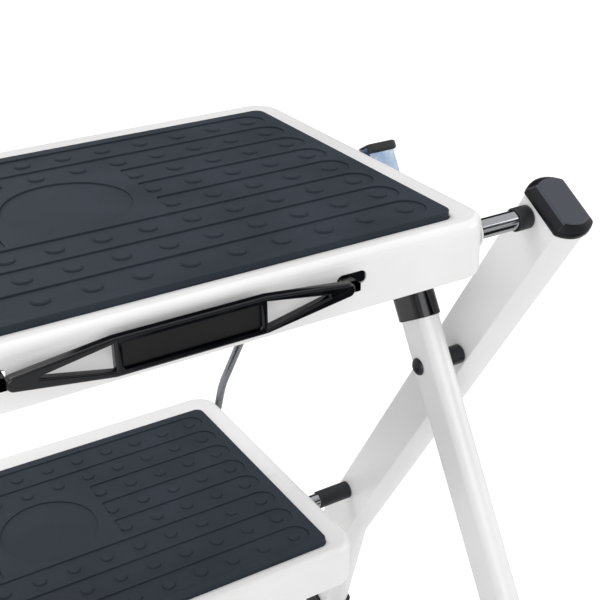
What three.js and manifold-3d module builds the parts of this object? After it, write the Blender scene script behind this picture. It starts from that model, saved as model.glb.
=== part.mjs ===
// A two-step folding step stool: a pair of leaning uprights carries two sheet-steel steps on
// cross rods, and a pair of rear legs crosses the uprights on scissor rivets. Wire links tie
// the steps together, so that both swing down between the uprights when the stool is folded.
// Millimetres, +X to the right, +Y towards the climbing side, +Z up.

import * as THREE from "three";
import { mergeVertices } from "three/addons/utils/BufferGeometryUtils.js";
import Module from "manifold-3d";

const wasm = await Module();
wasm.setup();

// ---- Driving dimensions -------------------------------------------------------------------

// Steps
const stepRise = 240;
const lowerStepReach = 100;
const trayWidth = 302;
const trayDepth = 198;
const trayHeight = 25.5;
const trayCorner = 15;
const trayEdgeRadius = 4;
const trayHem = 5;
const sheet = 1.5;

// Mats
const matRecess = 3;
const matProud = 3;
const matCorner = 5;
const matSideMargin = 15.5;
const matNearMargin = 9.4;
const matFarMargin = 20.3;
const matChannels = 8;
const matChannelPitch = 20;
const matChannelWidth = 18.6;
const matChannelDepth = 0.5;
const matChannelEndMargin = 5.7;

// Uprights
const uprightLeanAngle = 31.4;
const uprightWidth = 32;
const uprightThickness = 20;
const uprightBulge = 4;
const tubeWall = 1.5;
const uprightGap = 32;
const uprightRodOffset = 4.8;
const uprightTopLength = 10.5;
const splayAngle = 14;
const splayRadius = 60;
const splayBelowRod = 34;
const splaySegments = 5;

// Rear legs
const legLeanAngle = 30.5;
const legWidth = 25;
const legThickness = 12;
const legGap = 6;
const legOffset = 4;
const legTopLength = 43;

// Cross rods
const rodRadius = 4.5;
const topRodInset = 16.2;
const rodDrop = 15.6;
const rodNutRadius = 7;
const rodNutLength = 4;
const rodNutWall = 1.2;
const rodNutBevel = 1.5;
const spacerWall = 0.8;
const topSpacerLength = 8;
const lowerSpacerLength = 22;

// Step bearings
const bushWall = 1.4;
const bushFlange = 1.6;
const bushFlangeLength = 1.2;
const bushLip = 3;

// Scissor pivot
const pivotBelowRod = 98.8;
const pivotOffset = 6.5;
const pivotPinRadius = 3;
const pivotHeadRadius = 4.5;
const pivotHeadLength = 1.6;
const pivotBushRadius = 5;

// Support catches on the rear legs
const catchSheet = 1.8;
const catchReach = 111;
const catchHeadLength = 60;
const catchFlangeDepth = 15;
const catchTongueWidth = 10;
const catchTrayGap = 2;
const catchPinRadius = 2.5;
const catchPinReach = 36.5;
const catchPinOffset = 2.5;
const catchTiltAngle = 36;
const gripHeight = 4.6;
const gripWall = 1.6;
const gripDepth = 11;
const gripRise = 1.2;
const gripCorner = 2.5;
const gripBevel = 1.2;
const catchRivetRadius = 3;
const catchRivetHead = 2.2;
const catchRivetTail = 1.2;
const catchRivetCrown = 0.85;
const catchRivetDrop = 9;

// Support studs on the top step
const studRadius = 4;
const studHeadRadius = 5.2;
const studHeadLength = 2.2;
const studSeatGap = 1;
const studBelowTop = 15;

// Wire links between the steps
const wireRadius = 2.3;
const linkEdgeMargin = 8.5;
const linkArmRise = 2;
const linkHook = 9;
const linkTrayGap = 1.6;
const linkBendRise = 24;
const linkBendShift = 6;
const linkBendRadius = 12;
const linkHookRadius = 3.22;

// Carry handle
const handleLength = 139;
const handleGripLength = 61;
const handleGripHeight = 15.6;
const handleEndHeight = 6;
const handleEndRise = 0.6;
const handleThickness = 4.3;
const handleRail = 2.3;
const handleTipLength = 12;
const handleTipHeight = 0.8;
const handleStandoff = 5.2;
const handleDrop = 13.4;
const handleShift = 5;
const handlePanelDepth = 2;
const handlePanelCorner = 1.5;
const handleStubWidth = 5;
const handleStubHeight = 3.6;
const handleStubLength = 2.6;
const handleStubBoss = 4;
const handleStubPlay = 1.5;
const handleBarb = 1.2;
const slotLength = 14;
const slotHeight = 5.6;
const slotOffset = 4;

// Plastic fittings
const capWall = 1;
const capSkirt = 3.3;
const capCrown = 3.2;
const capBevel = 2.2;
const legCapWall = 0.8;
const legCapSkirt = 19.5;
const legCapCrown = 4;
const footWall = 2.5;
const footSkirt = 32;
const uprightEndHeight = 15;
const legEndHeight = 12;

// Rear crossbar
const crossbarRadius = 8;
const crossbarHeight = 62;

// Folding: how far the legs close, and the steps drop, until the stool is flat
const legFoldAngle = 59;
const stepFoldAngle = 54;

// Clearances, how far a cutting solid passes the face it cuts, and the stool's own reach
const gap = 0.3;
const runningGap = 0.15;
const overcut = 1;
const sliver = 0.01;
const weld = 1e-4;
const beyond = 2 * trayWidth;

// Fineness of curves
const barSides = 16;
const bevelSegments = 2;
const channelSegments = 2;
const traySegments = 3;
const cornerSegments = 4;
const handleSegments = 6;
const wireSteps = 40;
const rotate = Math.PI / 180;

// ---- Places that follow from the dimensions -----------------------------------------------

const lean = uprightLeanAngle * rotate;
const rearLean = legLeanAngle * rotate;
const splay = splayAngle * rotate;

const trayHalf = trayWidth / 2;
const legInner = trayHalf + legGap;
const legOuter = legInner + legThickness;
const uprightInner = trayHalf + uprightGap;
const uprightOuter = uprightInner + uprightThickness;
const uprightX = uprightInner + uprightThickness / 2;
const legX = legInner + legThickness / 2;

const topRod = new THREE.Vector3(0, topRodInset, 2 * stepRise - rodDrop);
const rodSpan = stepRise / Math.cos(lean);
const lowerRod = new THREE.Vector3(0, topRod.y + stepRise * Math.tan(lean), topRod.z - stepRise);
const lowerRodInset = lowerRod.y - lowerStepReach;
const linkArm = trayDepth - lowerRodInset - linkEdgeMargin;
const slotReach = handleLength / 2 + slotOffset;

// Nested groups carry the pieces: one for the uprights, one for the legs and one for each step.
const stool = new THREE.Group();

function groupAt(place, turn = 0, parent = stool) {
  const group = new THREE.Group();
  group.position.copy(place);
  group.rotation.x = turn;
  group.updateMatrix();
  parent.add(group);
  return group;
}

const uprights = groupAt(topRod, lean);
const pivotInUpright = new THREE.Vector3(0, -uprightRodOffset - pivotOffset, -pivotBelowRod);
const pivot = pivotInUpright.clone().applyMatrix4(uprights.matrix);
const legs = groupAt(pivot, -rearLean);
const topStep = groupAt(topRod);
const lowerStep = groupAt(lowerRod);

const bushRadius = rodRadius + runningGap + bushWall;
const trayTop = rodDrop - matProud;
const matWidth = trayWidth - 2 * matSideMargin;
const matDepth = trayDepth - matNearMargin - matFarMargin;
const linkX = trayHalf + linkTrayGap + wireRadius;

// ---- Materials ----------------------------------------------------------------------------

const finish = (color, roughness, metalness) => {
  return new THREE.MeshStandardMaterial({ color, roughness, metalness });
};
const whiteSteel = () => finish(0xf1f2f3, 0.35, 0.1);
const zincSteel = () => finish(0xb9c3d0, 0.3, 0.9);
const chrome = () => finish(0xc9ccd2, 0.12, 1.0);
const darkSteel = () => finish(0x5c5f66, 0.4, 0.8);
const blackPlastic = () => finish(0x26282d, 0.45, 0.0);
const greyPlastic = () => finish(0x4b4d57, 0.5, 0.0);
const whitePlastic = () => finish(0xf4f4f2, 0.4, 0.0);
const matRubber = () => finish(0x444b54, 0.7, 0.0);

// ---- Solid helpers ------------------------------------------------------------------------

function solidOf(geometry) {
  const bare = geometry.clone();
  bare.deleteAttribute("normal");
  bare.deleteAttribute("uv");
  const merged = mergeVertices(bare, weld);
  const mesh = new wasm.Mesh({
    numProp: 3,
    vertProperties: merged.attributes.position.array,
    triVerts: merged.index.array,
  });
  return new wasm.Manifold(mesh);
}

function geometryOf(solid) {
  const mesh = solid.getMesh();
  const geometry = new THREE.BufferGeometry();
  geometry.setAttribute("position", new THREE.BufferAttribute(mesh.vertProperties, 3));
  geometry.setIndex(new THREE.BufferAttribute(mesh.triVerts, 1));
  return geometry;
}

function cut(body, ...tools) {
  return tools.reduce((rest, tool) => rest.subtract(tool), body);
}

function join(body, ...others) {
  return others.reduce((whole, other) => whole.add(other), body);
}

// A cylinder along X between two planes, on the axis through (y, z).
function roundBar(radius, from, to, y = 0, z = 0) {
  const geometry = new THREE.CylinderGeometry(radius, radius, to - from, barSides);
  geometry.rotateZ(-Math.PI / 2);
  geometry.translate((from + to) / 2, y, z);
  return solidOf(geometry);
}

// A turned piece on an axis along X, from a closed profile of [x, radius] points.
function turned(profile, side = 1) {
  const points = profile.map(([x, radius]) => new THREE.Vector2(radius, x));
  const geometry = new THREE.LatheGeometry(points, barSides);
  geometry.rotateZ(-Math.PI / 2);
  if (side < 0) geometry.rotateZ(Math.PI);
  return solidOf(geometry);
}

function block(x0, x1, y0, y1, z0, z1) {
  const geometry = new THREE.BoxGeometry(x1 - x0, y1 - y0, z1 - z0);
  geometry.translate((x0 + x1) / 2, (y0 + y1) / 2, (z0 + z1) / 2);
  return solidOf(geometry);
}

function roundedRectangle(width, depth, radius) {
  const x = width / 2;
  const y = depth / 2;
  const shape = new THREE.Shape();
  shape.moveTo(x, y - radius);
  shape.absarc(x - radius, y - radius, radius, 0, Math.PI / 2);
  shape.absarc(radius - x, y - radius, radius, Math.PI / 2, Math.PI);
  shape.absarc(radius - x, radius - y, radius, Math.PI, 1.5 * Math.PI);
  shape.absarc(x - radius, radius - y, radius, 1.5 * Math.PI, 2 * Math.PI);
  return shape;
}

// The section of a flat-oval tube: two flat faces across X, joined by elliptical edges.
function flatOval(width, thickness, bulge) {
  const shape = new THREE.Shape();
  const flat = width / 2 - bulge;
  shape.moveTo(thickness / 2, -flat);
  shape.lineTo(thickness / 2, flat);
  shape.absellipse(0, flat, thickness / 2, bulge, 0, Math.PI);
  shape.lineTo(-thickness / 2, -flat);
  shape.absellipse(0, -flat, thickness / 2, bulge, Math.PI, 2 * Math.PI);
  return shape;
}

// A shape drawn in XY, extruded between two heights; the bevel, if any, rounds both ends.
function extruded(shape, from, to, { steps = 1, bevel = 0, curveSegments = cornerSegments } = {}) {
  const geometry = new THREE.ExtrudeGeometry(shape, {
    depth: to - from - 2 * bevel,
    steps,
    curveSegments,
    bevelEnabled: bevel > 0,
    bevelThickness: bevel,
    bevelSize: bevel,
    bevelOffset: -bevel,
    bevelSegments,
  });
  geometry.translate(0, 0, from + bevel);
  return geometry;
}

function addPiece(name, solid, material, group) {
  const mesh = new THREE.Mesh(geometryOf(solid), material);
  mesh.name = name;
  group.add(mesh);
}

const sides = [
  ["left", -1],
  ["right", 1],
];

// ---- Uprights with their end caps and feet ------------------------------------------------
// All of it is drawn in the frame of the uprights: its origin is on the top rod, Z runs up
// along the tubes and Y away from the handle side.

const uprightTop = uprightTopLength;
const splayStart = -rodSpan - splayBelowRod;
const splayDrop = splayRadius * Math.sin(splay);
const uprightEnd = (uprightEndHeight - topRod.z + uprightRodOffset * Math.sin(lean)) / Math.cos(lean);
const splayLength = (splayStart - splayDrop - uprightEnd) / Math.cos(splay);
const uprightLength = uprightTop - splayStart + splayRadius * splay + splayLength;

// Moves a point of the straight tube, given by its height, onto the outward bend.
function splayed(point, side) {
  const run = splayStart - point.z;
  const x = point.x;
  if (run <= 0) return point;
  const turn = Math.min(run / splayRadius, splay);
  const beyond = Math.max(run - splayRadius * splay, 0);
  const shift = splayRadius * (1 - Math.cos(turn)) + beyond * Math.sin(turn);
  const drop = splayRadius * Math.sin(turn) + beyond * Math.cos(turn);
  point.x = x * Math.cos(turn) + side * shift;
  point.z = splayStart - drop + side * x * Math.sin(turn);
  return point;
}

// The heights of a length of tube where its section is repeated: its ends and the bend.
function tubeLevels(from, to) {
  const bend = [];
  for (let i = splaySegments; i >= 0; i -= 1) {
    bend.push(splayStart - (i / splaySegments) * splayRadius * splay);
  }
  return [from, ...bend.filter((height) => height > from && height < to), to];
}

function uprightTube(section, side, from, to) {
  const levels = tubeLevels(from, to);
  const geometry = extruded(section, 0, levels.length - 1, { steps: levels.length - 1 });
  const position = geometry.attributes.position;
  const point = new THREE.Vector3();
  for (let i = 0; i < position.count; i += 1) {
    point.fromBufferAttribute(position, i);
    point.z = levels[Math.round(point.z)];
    splayed(point, side);
    position.setXYZ(i, point.x + side * uprightX, point.y - uprightRodOffset, point.z);
  }
  return solidOf(geometry);
}

const uprightBottom = uprightTop - uprightLength;
const uprightOutside = flatOval(uprightWidth, uprightThickness, uprightBulge);
const uprightInside = flatOval(
  uprightWidth - 2 * tubeWall,
  uprightThickness - 2 * tubeWall,
  uprightBulge - tubeWall / 2,
);

// The outside of a fitting that wraps the end of an upright with a given wall.
function aroundUpright(wall) {
  return flatOval(uprightWidth + 2 * wall, uprightThickness + 2 * wall, uprightBulge + wall);
}

for (const [word, side] of sides) {
  const inner = Math.min(side * (uprightInner - overcut), side * (uprightOuter + overcut));
  const outer = Math.max(side * (uprightInner - overcut), side * (uprightOuter + overcut));
  const rodHole = rodRadius + runningGap;
  const pinHole = pivotPinRadius + runningGap;
  const tube = cut(
    uprightTube(uprightOutside, side, uprightBottom, uprightTop),
    uprightTube(uprightInside, side, uprightBottom - overcut, uprightTop + overcut),
    roundBar(rodHole, inner, outer),
    roundBar(rodHole, inner, outer, 0, -rodSpan),
    roundBar(pinHole, inner, outer, pivotInUpright.y, pivotInUpright.z),
  );
  addPiece(`front_upright_${word}`, tube, whiteSteel(), uprights);

  const rim = uprightTop - capSkirt;
  const capOutside = extruded(aroundUpright(capWall), rim - capBevel, uprightTop + capCrown, {
    bevel: capBevel,
  });
  capOutside.translate(side * uprightX, -uprightRodOffset, 0);
  const capTrim = block(-beyond, beyond, -beyond, beyond, rim - 2 * capBevel, rim);
  const capSocket = uprightTube(aroundUpright(gap), side, rim - overcut, uprightTop + gap);
  addPiece(`upright_cap_${word}`, cut(solidOf(capOutside), capTrim, capSocket), greyPlastic(), uprights);

  const shoeTop = uprightBottom + footSkirt;
  const shoe = uprightTube(aroundUpright(footWall), side, uprightBottom - footSkirt, shoeTop);
  const shoeSocket = uprightTube(aroundUpright(gap), side, uprightBottom - gap, shoeTop + overcut);
  const ground = block(-beyond, beyond, -beyond, beyond, -beyond, 0);
  const foot = cut(cut(shoe, shoeSocket).transform(uprights.matrix.elements), ground);
  addPiece(`front_foot_${word}`, foot, blackPlastic(), stool);
}

// ---- Cross rods, their end nuts and spacers -----------------------------------------------

// The rods are plain bars, held at each end by a domed push-on nut outside the upright.

const nutStart = uprightOuter + gap;
const nutEnd = nutStart + rodNutLength;
const nutFloor = nutEnd - rodNutWall;
const rodHalf = nutFloor - gap;

function pushNut(side) {
  return turned(
    [
      [nutStart, rodRadius + gap],
      [nutStart, rodNutRadius],
      [nutEnd - rodNutBevel, rodNutRadius],
      [nutEnd, rodNutRadius - rodNutBevel],
      [nutEnd, 0],
      [nutFloor, 0],
      [nutFloor, rodRadius + gap],
      [nutStart, rodRadius + gap],
    ],
    side,
  );
}

function ring(outerRadius, innerRadius, from, to, side) {
  return turned(
    [
      [from, innerRadius],
      [from, outerRadius],
      [to, outerRadius],
      [to, innerRadius],
      [from, innerRadius],
    ],
    side,
  );
}

const rods = [
  ["top", topStep, topSpacerLength],
  ["lower", lowerStep, lowerSpacerLength],
];
for (const [level, step, spacerLength] of rods) {
  addPiece(`${level}_rod`, roundBar(rodRadius, -rodHalf, rodHalf), chrome(), step);
  for (const [word, side] of sides) {
    addPiece(`${level}_rod_nut_${word}`, pushNut(side), zincSteel(), step);
    const spacerOuter = rodRadius + runningGap + spacerWall;
    const spacerFrom = uprightInner - gap - spacerLength;
    const spacer = ring(spacerOuter, rodRadius + runningGap, spacerFrom, uprightInner - gap, side);
    addPiece(`${level}_rod_spacer_${word}`, spacer, blackPlastic(), step);
  }
}

// ---- Rear legs, their caps, feet and crossbar ---------------------------------------------
// Drawn in the frame of the legs: its origin is on the scissor pivot and Z runs up the legs.

const legBottom = -(pivot.z - legEndHeight + legOffset * Math.sin(rearLean)) / Math.cos(rearLean);
const legOutside = aroundLeg(0);
const legInside = aroundLeg(-tubeWall);

function aroundLeg(wall) {
  return flatOval(legWidth + 2 * wall, legThickness + 2 * wall, legThickness / 2 + wall);
}

function legBar(section, side, from, to, options) {
  return solidOf(extruded(section, from, to, options).translate(side * legX, -legOffset, 0));
}

const catchOuter = legOuter - tubeWall - gap;
const catchPlate = catchOuter - catchSheet;
const catchInner = trayHalf + catchTrayGap;
const catchNear = -legOffset - legWidth / 2 + gap;
const catchFar = catchNear + catchFlangeDepth;
const catchHeadStart = catchReach - catchHeadLength;
const catchPinY = -legOffset - catchPinOffset;
const tongueNear = catchPinY - catchTongueWidth / 2;

// A block between two distances from the middle of the stool, on the given side.
function sideBlock(side, near, far, y0, y1, z0, z1) {
  return block(Math.min(side * near, side * far), Math.max(side * near, side * far), y0, y1, z0, z1);
}

// A cylinder between two distances from the middle of the stool, on the given side.
function sideBar(side, radius, near, far, y, z) {
  return roundBar(radius, Math.min(side * near, side * far), Math.max(side * near, side * far), y, z);
}

for (const [word, side] of sides) {
  const pinHole = sideBar(side, pivotPinRadius + runningGap, legInner - overcut, legOuter + overcut, 0, 0);
  const catchPinHole = sideBar(
    side,
    catchPinRadius + runningGap,
    legInner - overcut,
    legOuter + overcut,
    catchPinY,
    catchPinReach,
  );
  const leg = cut(
    legBar(legOutside, side, legBottom, legTopLength),
    legBar(legInside, side, legBottom - overcut, legTopLength + overcut),
    pinHole,
    catchPinHole,
  );
  addPiece(`rear_leg_${word}`, leg, whiteSteel(), legs);

  const capFrom = legTopLength - legCapSkirt;
  const capTo = legTopLength + legCapCrown;
  const slitFar = legWidth / 2 + overcut;
  const slit = sideBlock(
    side,
    catchPlate - gap,
    catchOuter + gap,
    tongueNear - gap,
    slitFar,
    legTopLength - overcut,
    capTo + overcut,
  );
  const cap = cut(
    legBar(aroundLeg(legCapWall + gap), side, capFrom, capTo),
    legBar(aroundLeg(gap), side, capFrom - overcut, legTopLength + gap),
    slit,
  );
  addPiece(`leg_cap_${word}`, cap, blackPlastic(), legs);

  const shoe = cut(
    legBar(aroundLeg(footWall), side, legBottom - footSkirt, legBottom + footSkirt),
    legBar(aroundLeg(gap), side, legBottom - gap, legBottom + footSkirt + overcut),
  );
  const ground = block(-beyond, beyond, -beyond, beyond, -beyond, 0);
  addPiece(`rear_foot_${word}`, cut(shoe.transform(legs.matrix.elements), ground), blackPlastic(), stool);
}

const crossbarZ = legBottom + (crossbarHeight - legEndHeight) / Math.cos(rearLean);
const crossbarPlace = groupAt(new THREE.Vector3(0, -legOffset, crossbarZ), 0, legs);
const crossbarHalf = legInner - gap;
const crossbar = cut(
  roundBar(crossbarRadius, -crossbarHalf, crossbarHalf),
  roundBar(crossbarRadius - tubeWall, -crossbarHalf - overcut, crossbarHalf + overcut),
);
addPiece("rear_crossbar", crossbar, whiteSteel(), crossbarPlace);

// ---- Scissor rivets and bushes ------------------------------------------------------------

for (const [word, side] of sides) {
  const innerHead = legInner - gap;
  const outerHead = uprightOuter + gap;
  const rivet = turned(
    [
      [innerHead - pivotHeadLength, 0],
      [innerHead - pivotHeadLength, pivotHeadRadius],
      [innerHead, pivotHeadRadius],
      [innerHead, pivotPinRadius],
      [outerHead, pivotPinRadius],
      [outerHead, pivotHeadRadius],
      [outerHead + pivotHeadLength, pivotHeadRadius],
      [outerHead + pivotHeadLength, 0],
    ],
    side,
  );
  addPiece(`pivot_rivet_${word}`, rivet, darkSteel(), legs);
  const bush = ring(pivotBushRadius, pivotPinRadius + runningGap, legOuter + gap, uprightInner - gap, side);
  addPiece(`pivot_bush_${word}`, bush, darkSteel(), legs);
}

// ---- Support catches, their pins, grips and rivets ------------------------------------------
// A zinc-plated stamping is pinned in the top of each leg: a flat tongue inside the tube, then
// a channel whose inner flange holds a stud of the top step in an open, sloping notch. A plastic
// strip over its top edge is the finger grip that lets go of the stud.

const catchPin = new THREE.Vector3(0, catchPinY, catchPinReach).applyMatrix4(legs.matrix);
const studPlace = new THREE.Vector3(
  0,
  catchNear + catchSheet + studSeatGap + studHeadRadius,
  catchReach - studBelowTop,
);
const stud = studPlace.clone().applyMatrix4(legs.matrix);

// The way a stud leaves its notch, seen from the catch, as the stool starts to fold: the step
// turns about the top rod, the pin about the scissor pivot, and the catch tilts on its pin.
const stepArm = stud.clone().sub(topRod).multiplyScalar(stepFoldAngle / legFoldAngle);
const pinArm = catchPin.clone().sub(pivot);
const catchArm = stud.clone().sub(catchPin).multiplyScalar(1 - catchTiltAngle / legFoldAngle);
const drift = stepArm.add(pinArm).add(catchArm);
const leave = new THREE.Vector3(0, drift.z, -drift.y);
leave.transformDirection(legs.matrix.clone().invert());
const notchTurn = Math.atan2(leave.z, leave.y) / rotate;
const notchRadius = studRadius + 2 * gap;
const notchRun = catchFlangeDepth + studRadius;

for (const [word, side] of sides) {
  const pinY = catchPinY;
  const pinZ = catchPinReach;
  const flangeTop = catchReach;
  const eye = sideBar(side, catchTongueWidth / 2, catchPlate, catchOuter, pinY, pinZ);
  const tongue = sideBlock(
    side,
    catchPlate,
    catchOuter,
    tongueNear,
    tongueNear + catchTongueWidth,
    pinZ,
    catchHeadStart + overcut,
  );
  const outerFlange = sideBlock(
    side,
    catchPlate,
    catchOuter,
    catchNear,
    catchFar,
    catchHeadStart,
    flangeTop,
  );
  const web = sideBlock(
    side,
    catchInner,
    catchOuter,
    catchNear,
    catchNear + catchSheet,
    catchHeadStart,
    flangeTop,
  );
  const innerFlange = sideBlock(
    side,
    catchInner,
    catchInner + catchSheet,
    catchNear,
    catchFar,
    catchHeadStart,
    flangeTop,
  );
  const notchFrom = catchInner - overcut;
  const notchTo = catchInner + catchSheet + overcut;
  const notchSeat = sideBar(side, notchRadius, notchFrom, notchTo, 0, 0);
  const notchLane = sideBlock(side, notchFrom, notchTo, 0, notchRun, -notchRadius, notchRadius);
  const notch = join(notchSeat, notchLane)
    .rotate(notchTurn, 0, 0)
    .translate(0, studPlace.y, studPlace.z);
  const rivetZ = catchReach - catchRivetDrop;
  const rivetY = catchNear + catchSheet + gap + catchRivetRadius;
  const rivetHole = catchRivetRadius / 2 + gap;
  const throughFrom = catchPlate - overcut;
  const throughTo = catchOuter + overcut;
  const stamping = cut(
    join(eye, tongue, outerFlange, web, innerFlange),
    notch,
    sideBar(side, catchPinRadius + runningGap, throughFrom, throughTo, pinY, pinZ),
    sideBar(side, rivetHole, throughFrom, throughTo, rivetY, rivetZ),
  );
  addPiece(`support_catch_${word}`, stamping, zincSteel(), legs);
  const pin = sideBar(side, catchPinRadius, legInner, legOuter, pinY, pinZ);
  addPiece(`catch_pin_${word}`, pin, darkSteel(), legs);

  const rivet = turned(
    [
      [catchPlate - gap - catchRivetTail, 0],
      [catchPlate - gap - catchRivetTail, catchRivetRadius],
      [catchPlate - gap, catchRivetRadius],
      [catchPlate - gap, catchRivetRadius / 2],
      [catchOuter + gap, catchRivetRadius / 2],
      [catchOuter + gap, catchRivetRadius],
      [catchOuter + gap + catchRivetHead / 2, catchRivetRadius * catchRivetCrown],
      [catchOuter + gap + catchRivetHead, 0],
    ],
    side,
  );
  const rivetPlace = groupAt(new THREE.Vector3(0, rivetY, rivetZ), 0, legs);
  addPiece(`catch_rivet_${word}`, rivet, zincSteel(), rivetPlace);

  const gripInner = catchInner - gap - gripWall / 2;
  const gripOuter = catchOuter + gap + gripWall;
  const gripNear = catchNear - gap - gripWall;
  const gripFrom = catchReach + gripRise - gripHeight;
  const gripBody = extruded(
    roundedRectangle(gripOuter - gripInner, gripDepth, gripCorner),
    gripFrom,
    catchReach + gripRise,
    { bevel: gripBevel },
  );
  gripBody.translate((side * (gripInner + gripOuter)) / 2, gripNear + gripDepth / 2, 0);
  // The grooves that sit over the top edges of the web and of the two flanges.
  const groove = (near, far, depth) => {
    return sideBlock(side, near, far, catchNear - gap, depth, gripFrom - overcut, catchReach + gap);
  };
  const grip = cut(
    solidOf(gripBody),
    groove(gripInner - overcut, catchOuter + gap, catchNear + catchSheet + gap),
    groove(gripInner - overcut, catchInner + catchSheet + gap, catchFar),
    groove(catchPlate - gap, catchOuter + gap, catchFar),
  );
  addPiece(`catch_grip_${word}`, grip, blackPlastic(), legs);
}

// ---- Steps --------------------------------------------------------------------------------
// Each step is drawn around its own rod: the rod is the origin, and the top of the mat is
// one rod drop above it.

function outlineAt(shape, inset, from, to, options) {
  return solidOf(extruded(shape, from, to, options).translate(0, trayDepth / 2 - inset, 0));
}

function trayBody(inset) {
  const bottom = trayTop - trayHeight;
  const hem = 2 * (sheet + trayHem);
  const outside = outlineAt(
    roundedRectangle(trayWidth, trayDepth, trayCorner),
    inset,
    bottom - 2 * trayEdgeRadius,
    trayTop,
    { bevel: trayEdgeRadius, curveSegments: traySegments },
  );
  const below = block(-beyond, beyond, -beyond, beyond, bottom - trayHeight, bottom);
  const cavity = outlineAt(
    roundedRectangle(trayWidth - 2 * sheet, trayDepth - 2 * sheet, trayCorner - sheet),
    inset,
    bottom + sheet,
    trayTop - matRecess - sheet,
    { curveSegments: traySegments },
  );
  const opening = outlineAt(
    roundedRectangle(trayWidth - hem, trayDepth - hem, trayCorner - sheet - trayHem),
    inset,
    bottom - overcut,
    bottom + sheet + overcut,
    { curveSegments: traySegments },
  );
  const matShape = roundedRectangle(matWidth + 2 * gap, matDepth + 2 * gap, matCorner + gap);
  const recess = outlineAt(matShape, inset, trayTop - matRecess, trayTop + overcut);
  const shifted = recess.translate(0, (matNearMargin - matFarMargin) / 2, 0);
  return cut(outside, below, cavity, opening, shifted);
}

// A hole in each side wall of a tray.
function sideHoles(radius, y, z) {
  const from = trayHalf - sheet - bushLip - gap;
  const to = trayHalf + overcut;
  return join(sideBar(-1, radius, from, to, y, z), sideBar(1, radius, from, to, y, z));
}

function mat(inset) {
  const bottom = trayTop - matRecess + gap;
  const top = rodDrop;
  const shift = (matNearMargin - matFarMargin) / 2;
  const outline = roundedRectangle(matWidth, matDepth, matCorner);
  const slab = outlineAt(outline, inset, bottom, top).translate(0, shift, 0);
  const middle = trayDepth / 2 - inset + shift;
  const length = matWidth - 2 * matChannelEndMargin;
  const channel = extruded(
    roundedRectangle(length, matChannelWidth, matChannelWidth / 2 - sliver),
    top - matChannelDepth,
    top + overcut,
    { curveSegments: channelSegments },
  );
  const channels = [];
  for (let row = 0; row < matChannels; row += 1) {
    const y = middle + (row - (matChannels - 1) / 2) * matChannelPitch;
    channels.push(solidOf(channel.clone().translate(0, y, 0)));
  }
  return cut(slab, ...channels);
}

const rodLane = roundBar(rodRadius + gap, -trayHalf, trayHalf);
const bushHole = join(rodLane, sideHoles(bushRadius + gap, 0, 0));
const linkHole = sideHoles(wireRadius + 2 * gap, linkArm, linkArmRise);
const studY = stud.y - topRod.y;
const studZ = stud.z - topRod.z;
const studHole = sideHoles(studRadius + gap, studY, studZ);
const slotZ = rodDrop - handleDrop;

function handleSlot(side) {
  const shape = roundedRectangle(slotLength, slotHeight, slotHeight / 2 - sliver);
  const geometry = extruded(shape, -sheet - overcut, overcut, { curveSegments: handleSegments });
  geometry.rotateX(Math.PI / 2);
  geometry.translate(handleShift + side * slotReach, -topRodInset, slotZ);
  return solidOf(geometry);
}

const topTray = cut(trayBody(topRodInset), bushHole, linkHole, studHole, handleSlot(-1), handleSlot(1));
const lowerTray = cut(trayBody(lowerRodInset), bushHole, linkHole);
addPiece("top_tray", topTray, whiteSteel(), topStep);
addPiece("top_mat", mat(topRodInset), matRubber(), topStep);
addPiece("lower_tray", lowerTray, whiteSteel(), lowerStep);
addPiece("lower_mat", mat(lowerRodInset), matRubber(), lowerStep);

for (const [level, step] of rods) {
  for (const [word, side] of sides) {
    const bore = rodRadius + runningGap;
    const wallInner = trayHalf - sheet;
    const flangeStart = trayHalf + gap / 2;
    const bush = turned(
      [
        [wallInner - bushLip, bore],
        [wallInner - bushLip, bushRadius],
        [flangeStart, bushRadius],
        [flangeStart, bushRadius + bushFlange],
        [flangeStart + bushFlangeLength, bushRadius + bushFlange],
        [flangeStart + bushFlangeLength, bore],
        [wallInner - bushLip, bore],
      ],
      side,
    );
    addPiece(`${level}_step_bush_${word}`, bush, whitePlastic(), step);
  }
}

// ---- Support studs ------------------------------------------------------------------------

const studGroup = groupAt(new THREE.Vector3(0, studY, studZ), 0, topStep);
for (const [word, side] of sides) {
  const wallInner = trayHalf - sheet - gap;
  const headFrom = catchInner + catchSheet + gap;
  const piece = turned(
    [
      [wallInner - studHeadLength, 0],
      [wallInner - studHeadLength, studHeadRadius],
      [wallInner, studHeadRadius],
      [wallInner, studRadius],
      [headFrom, studRadius],
      [headFrom, studHeadRadius],
      [headFrom + studHeadLength, studHeadRadius],
      [headFrom + studHeadLength, 0],
    ],
    side,
  );
  addPiece(`support_stud_${word}`, piece, zincSteel(), studGroup);
}

// ---- Wire links ---------------------------------------------------------------------------

function roundedWire(corners, radius) {
  const path = new THREE.CurvePath();
  let from = corners[0];
  for (let i = 1; i < corners.length - 1; i += 1) {
    const corner = corners[i];
    const before = corners[i - 1].clone().sub(corner).setLength(radius[i - 1]).add(corner);
    const after = corners[i + 1].clone().sub(corner).setLength(radius[i - 1]).add(corner);
    path.add(new THREE.LineCurve3(from, before));
    path.add(new THREE.QuadraticBezierCurve3(before, corner, after));
    from = after;
  }
  path.add(new THREE.LineCurve3(from, corners[corners.length - 1]));
  return path;
}

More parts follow.
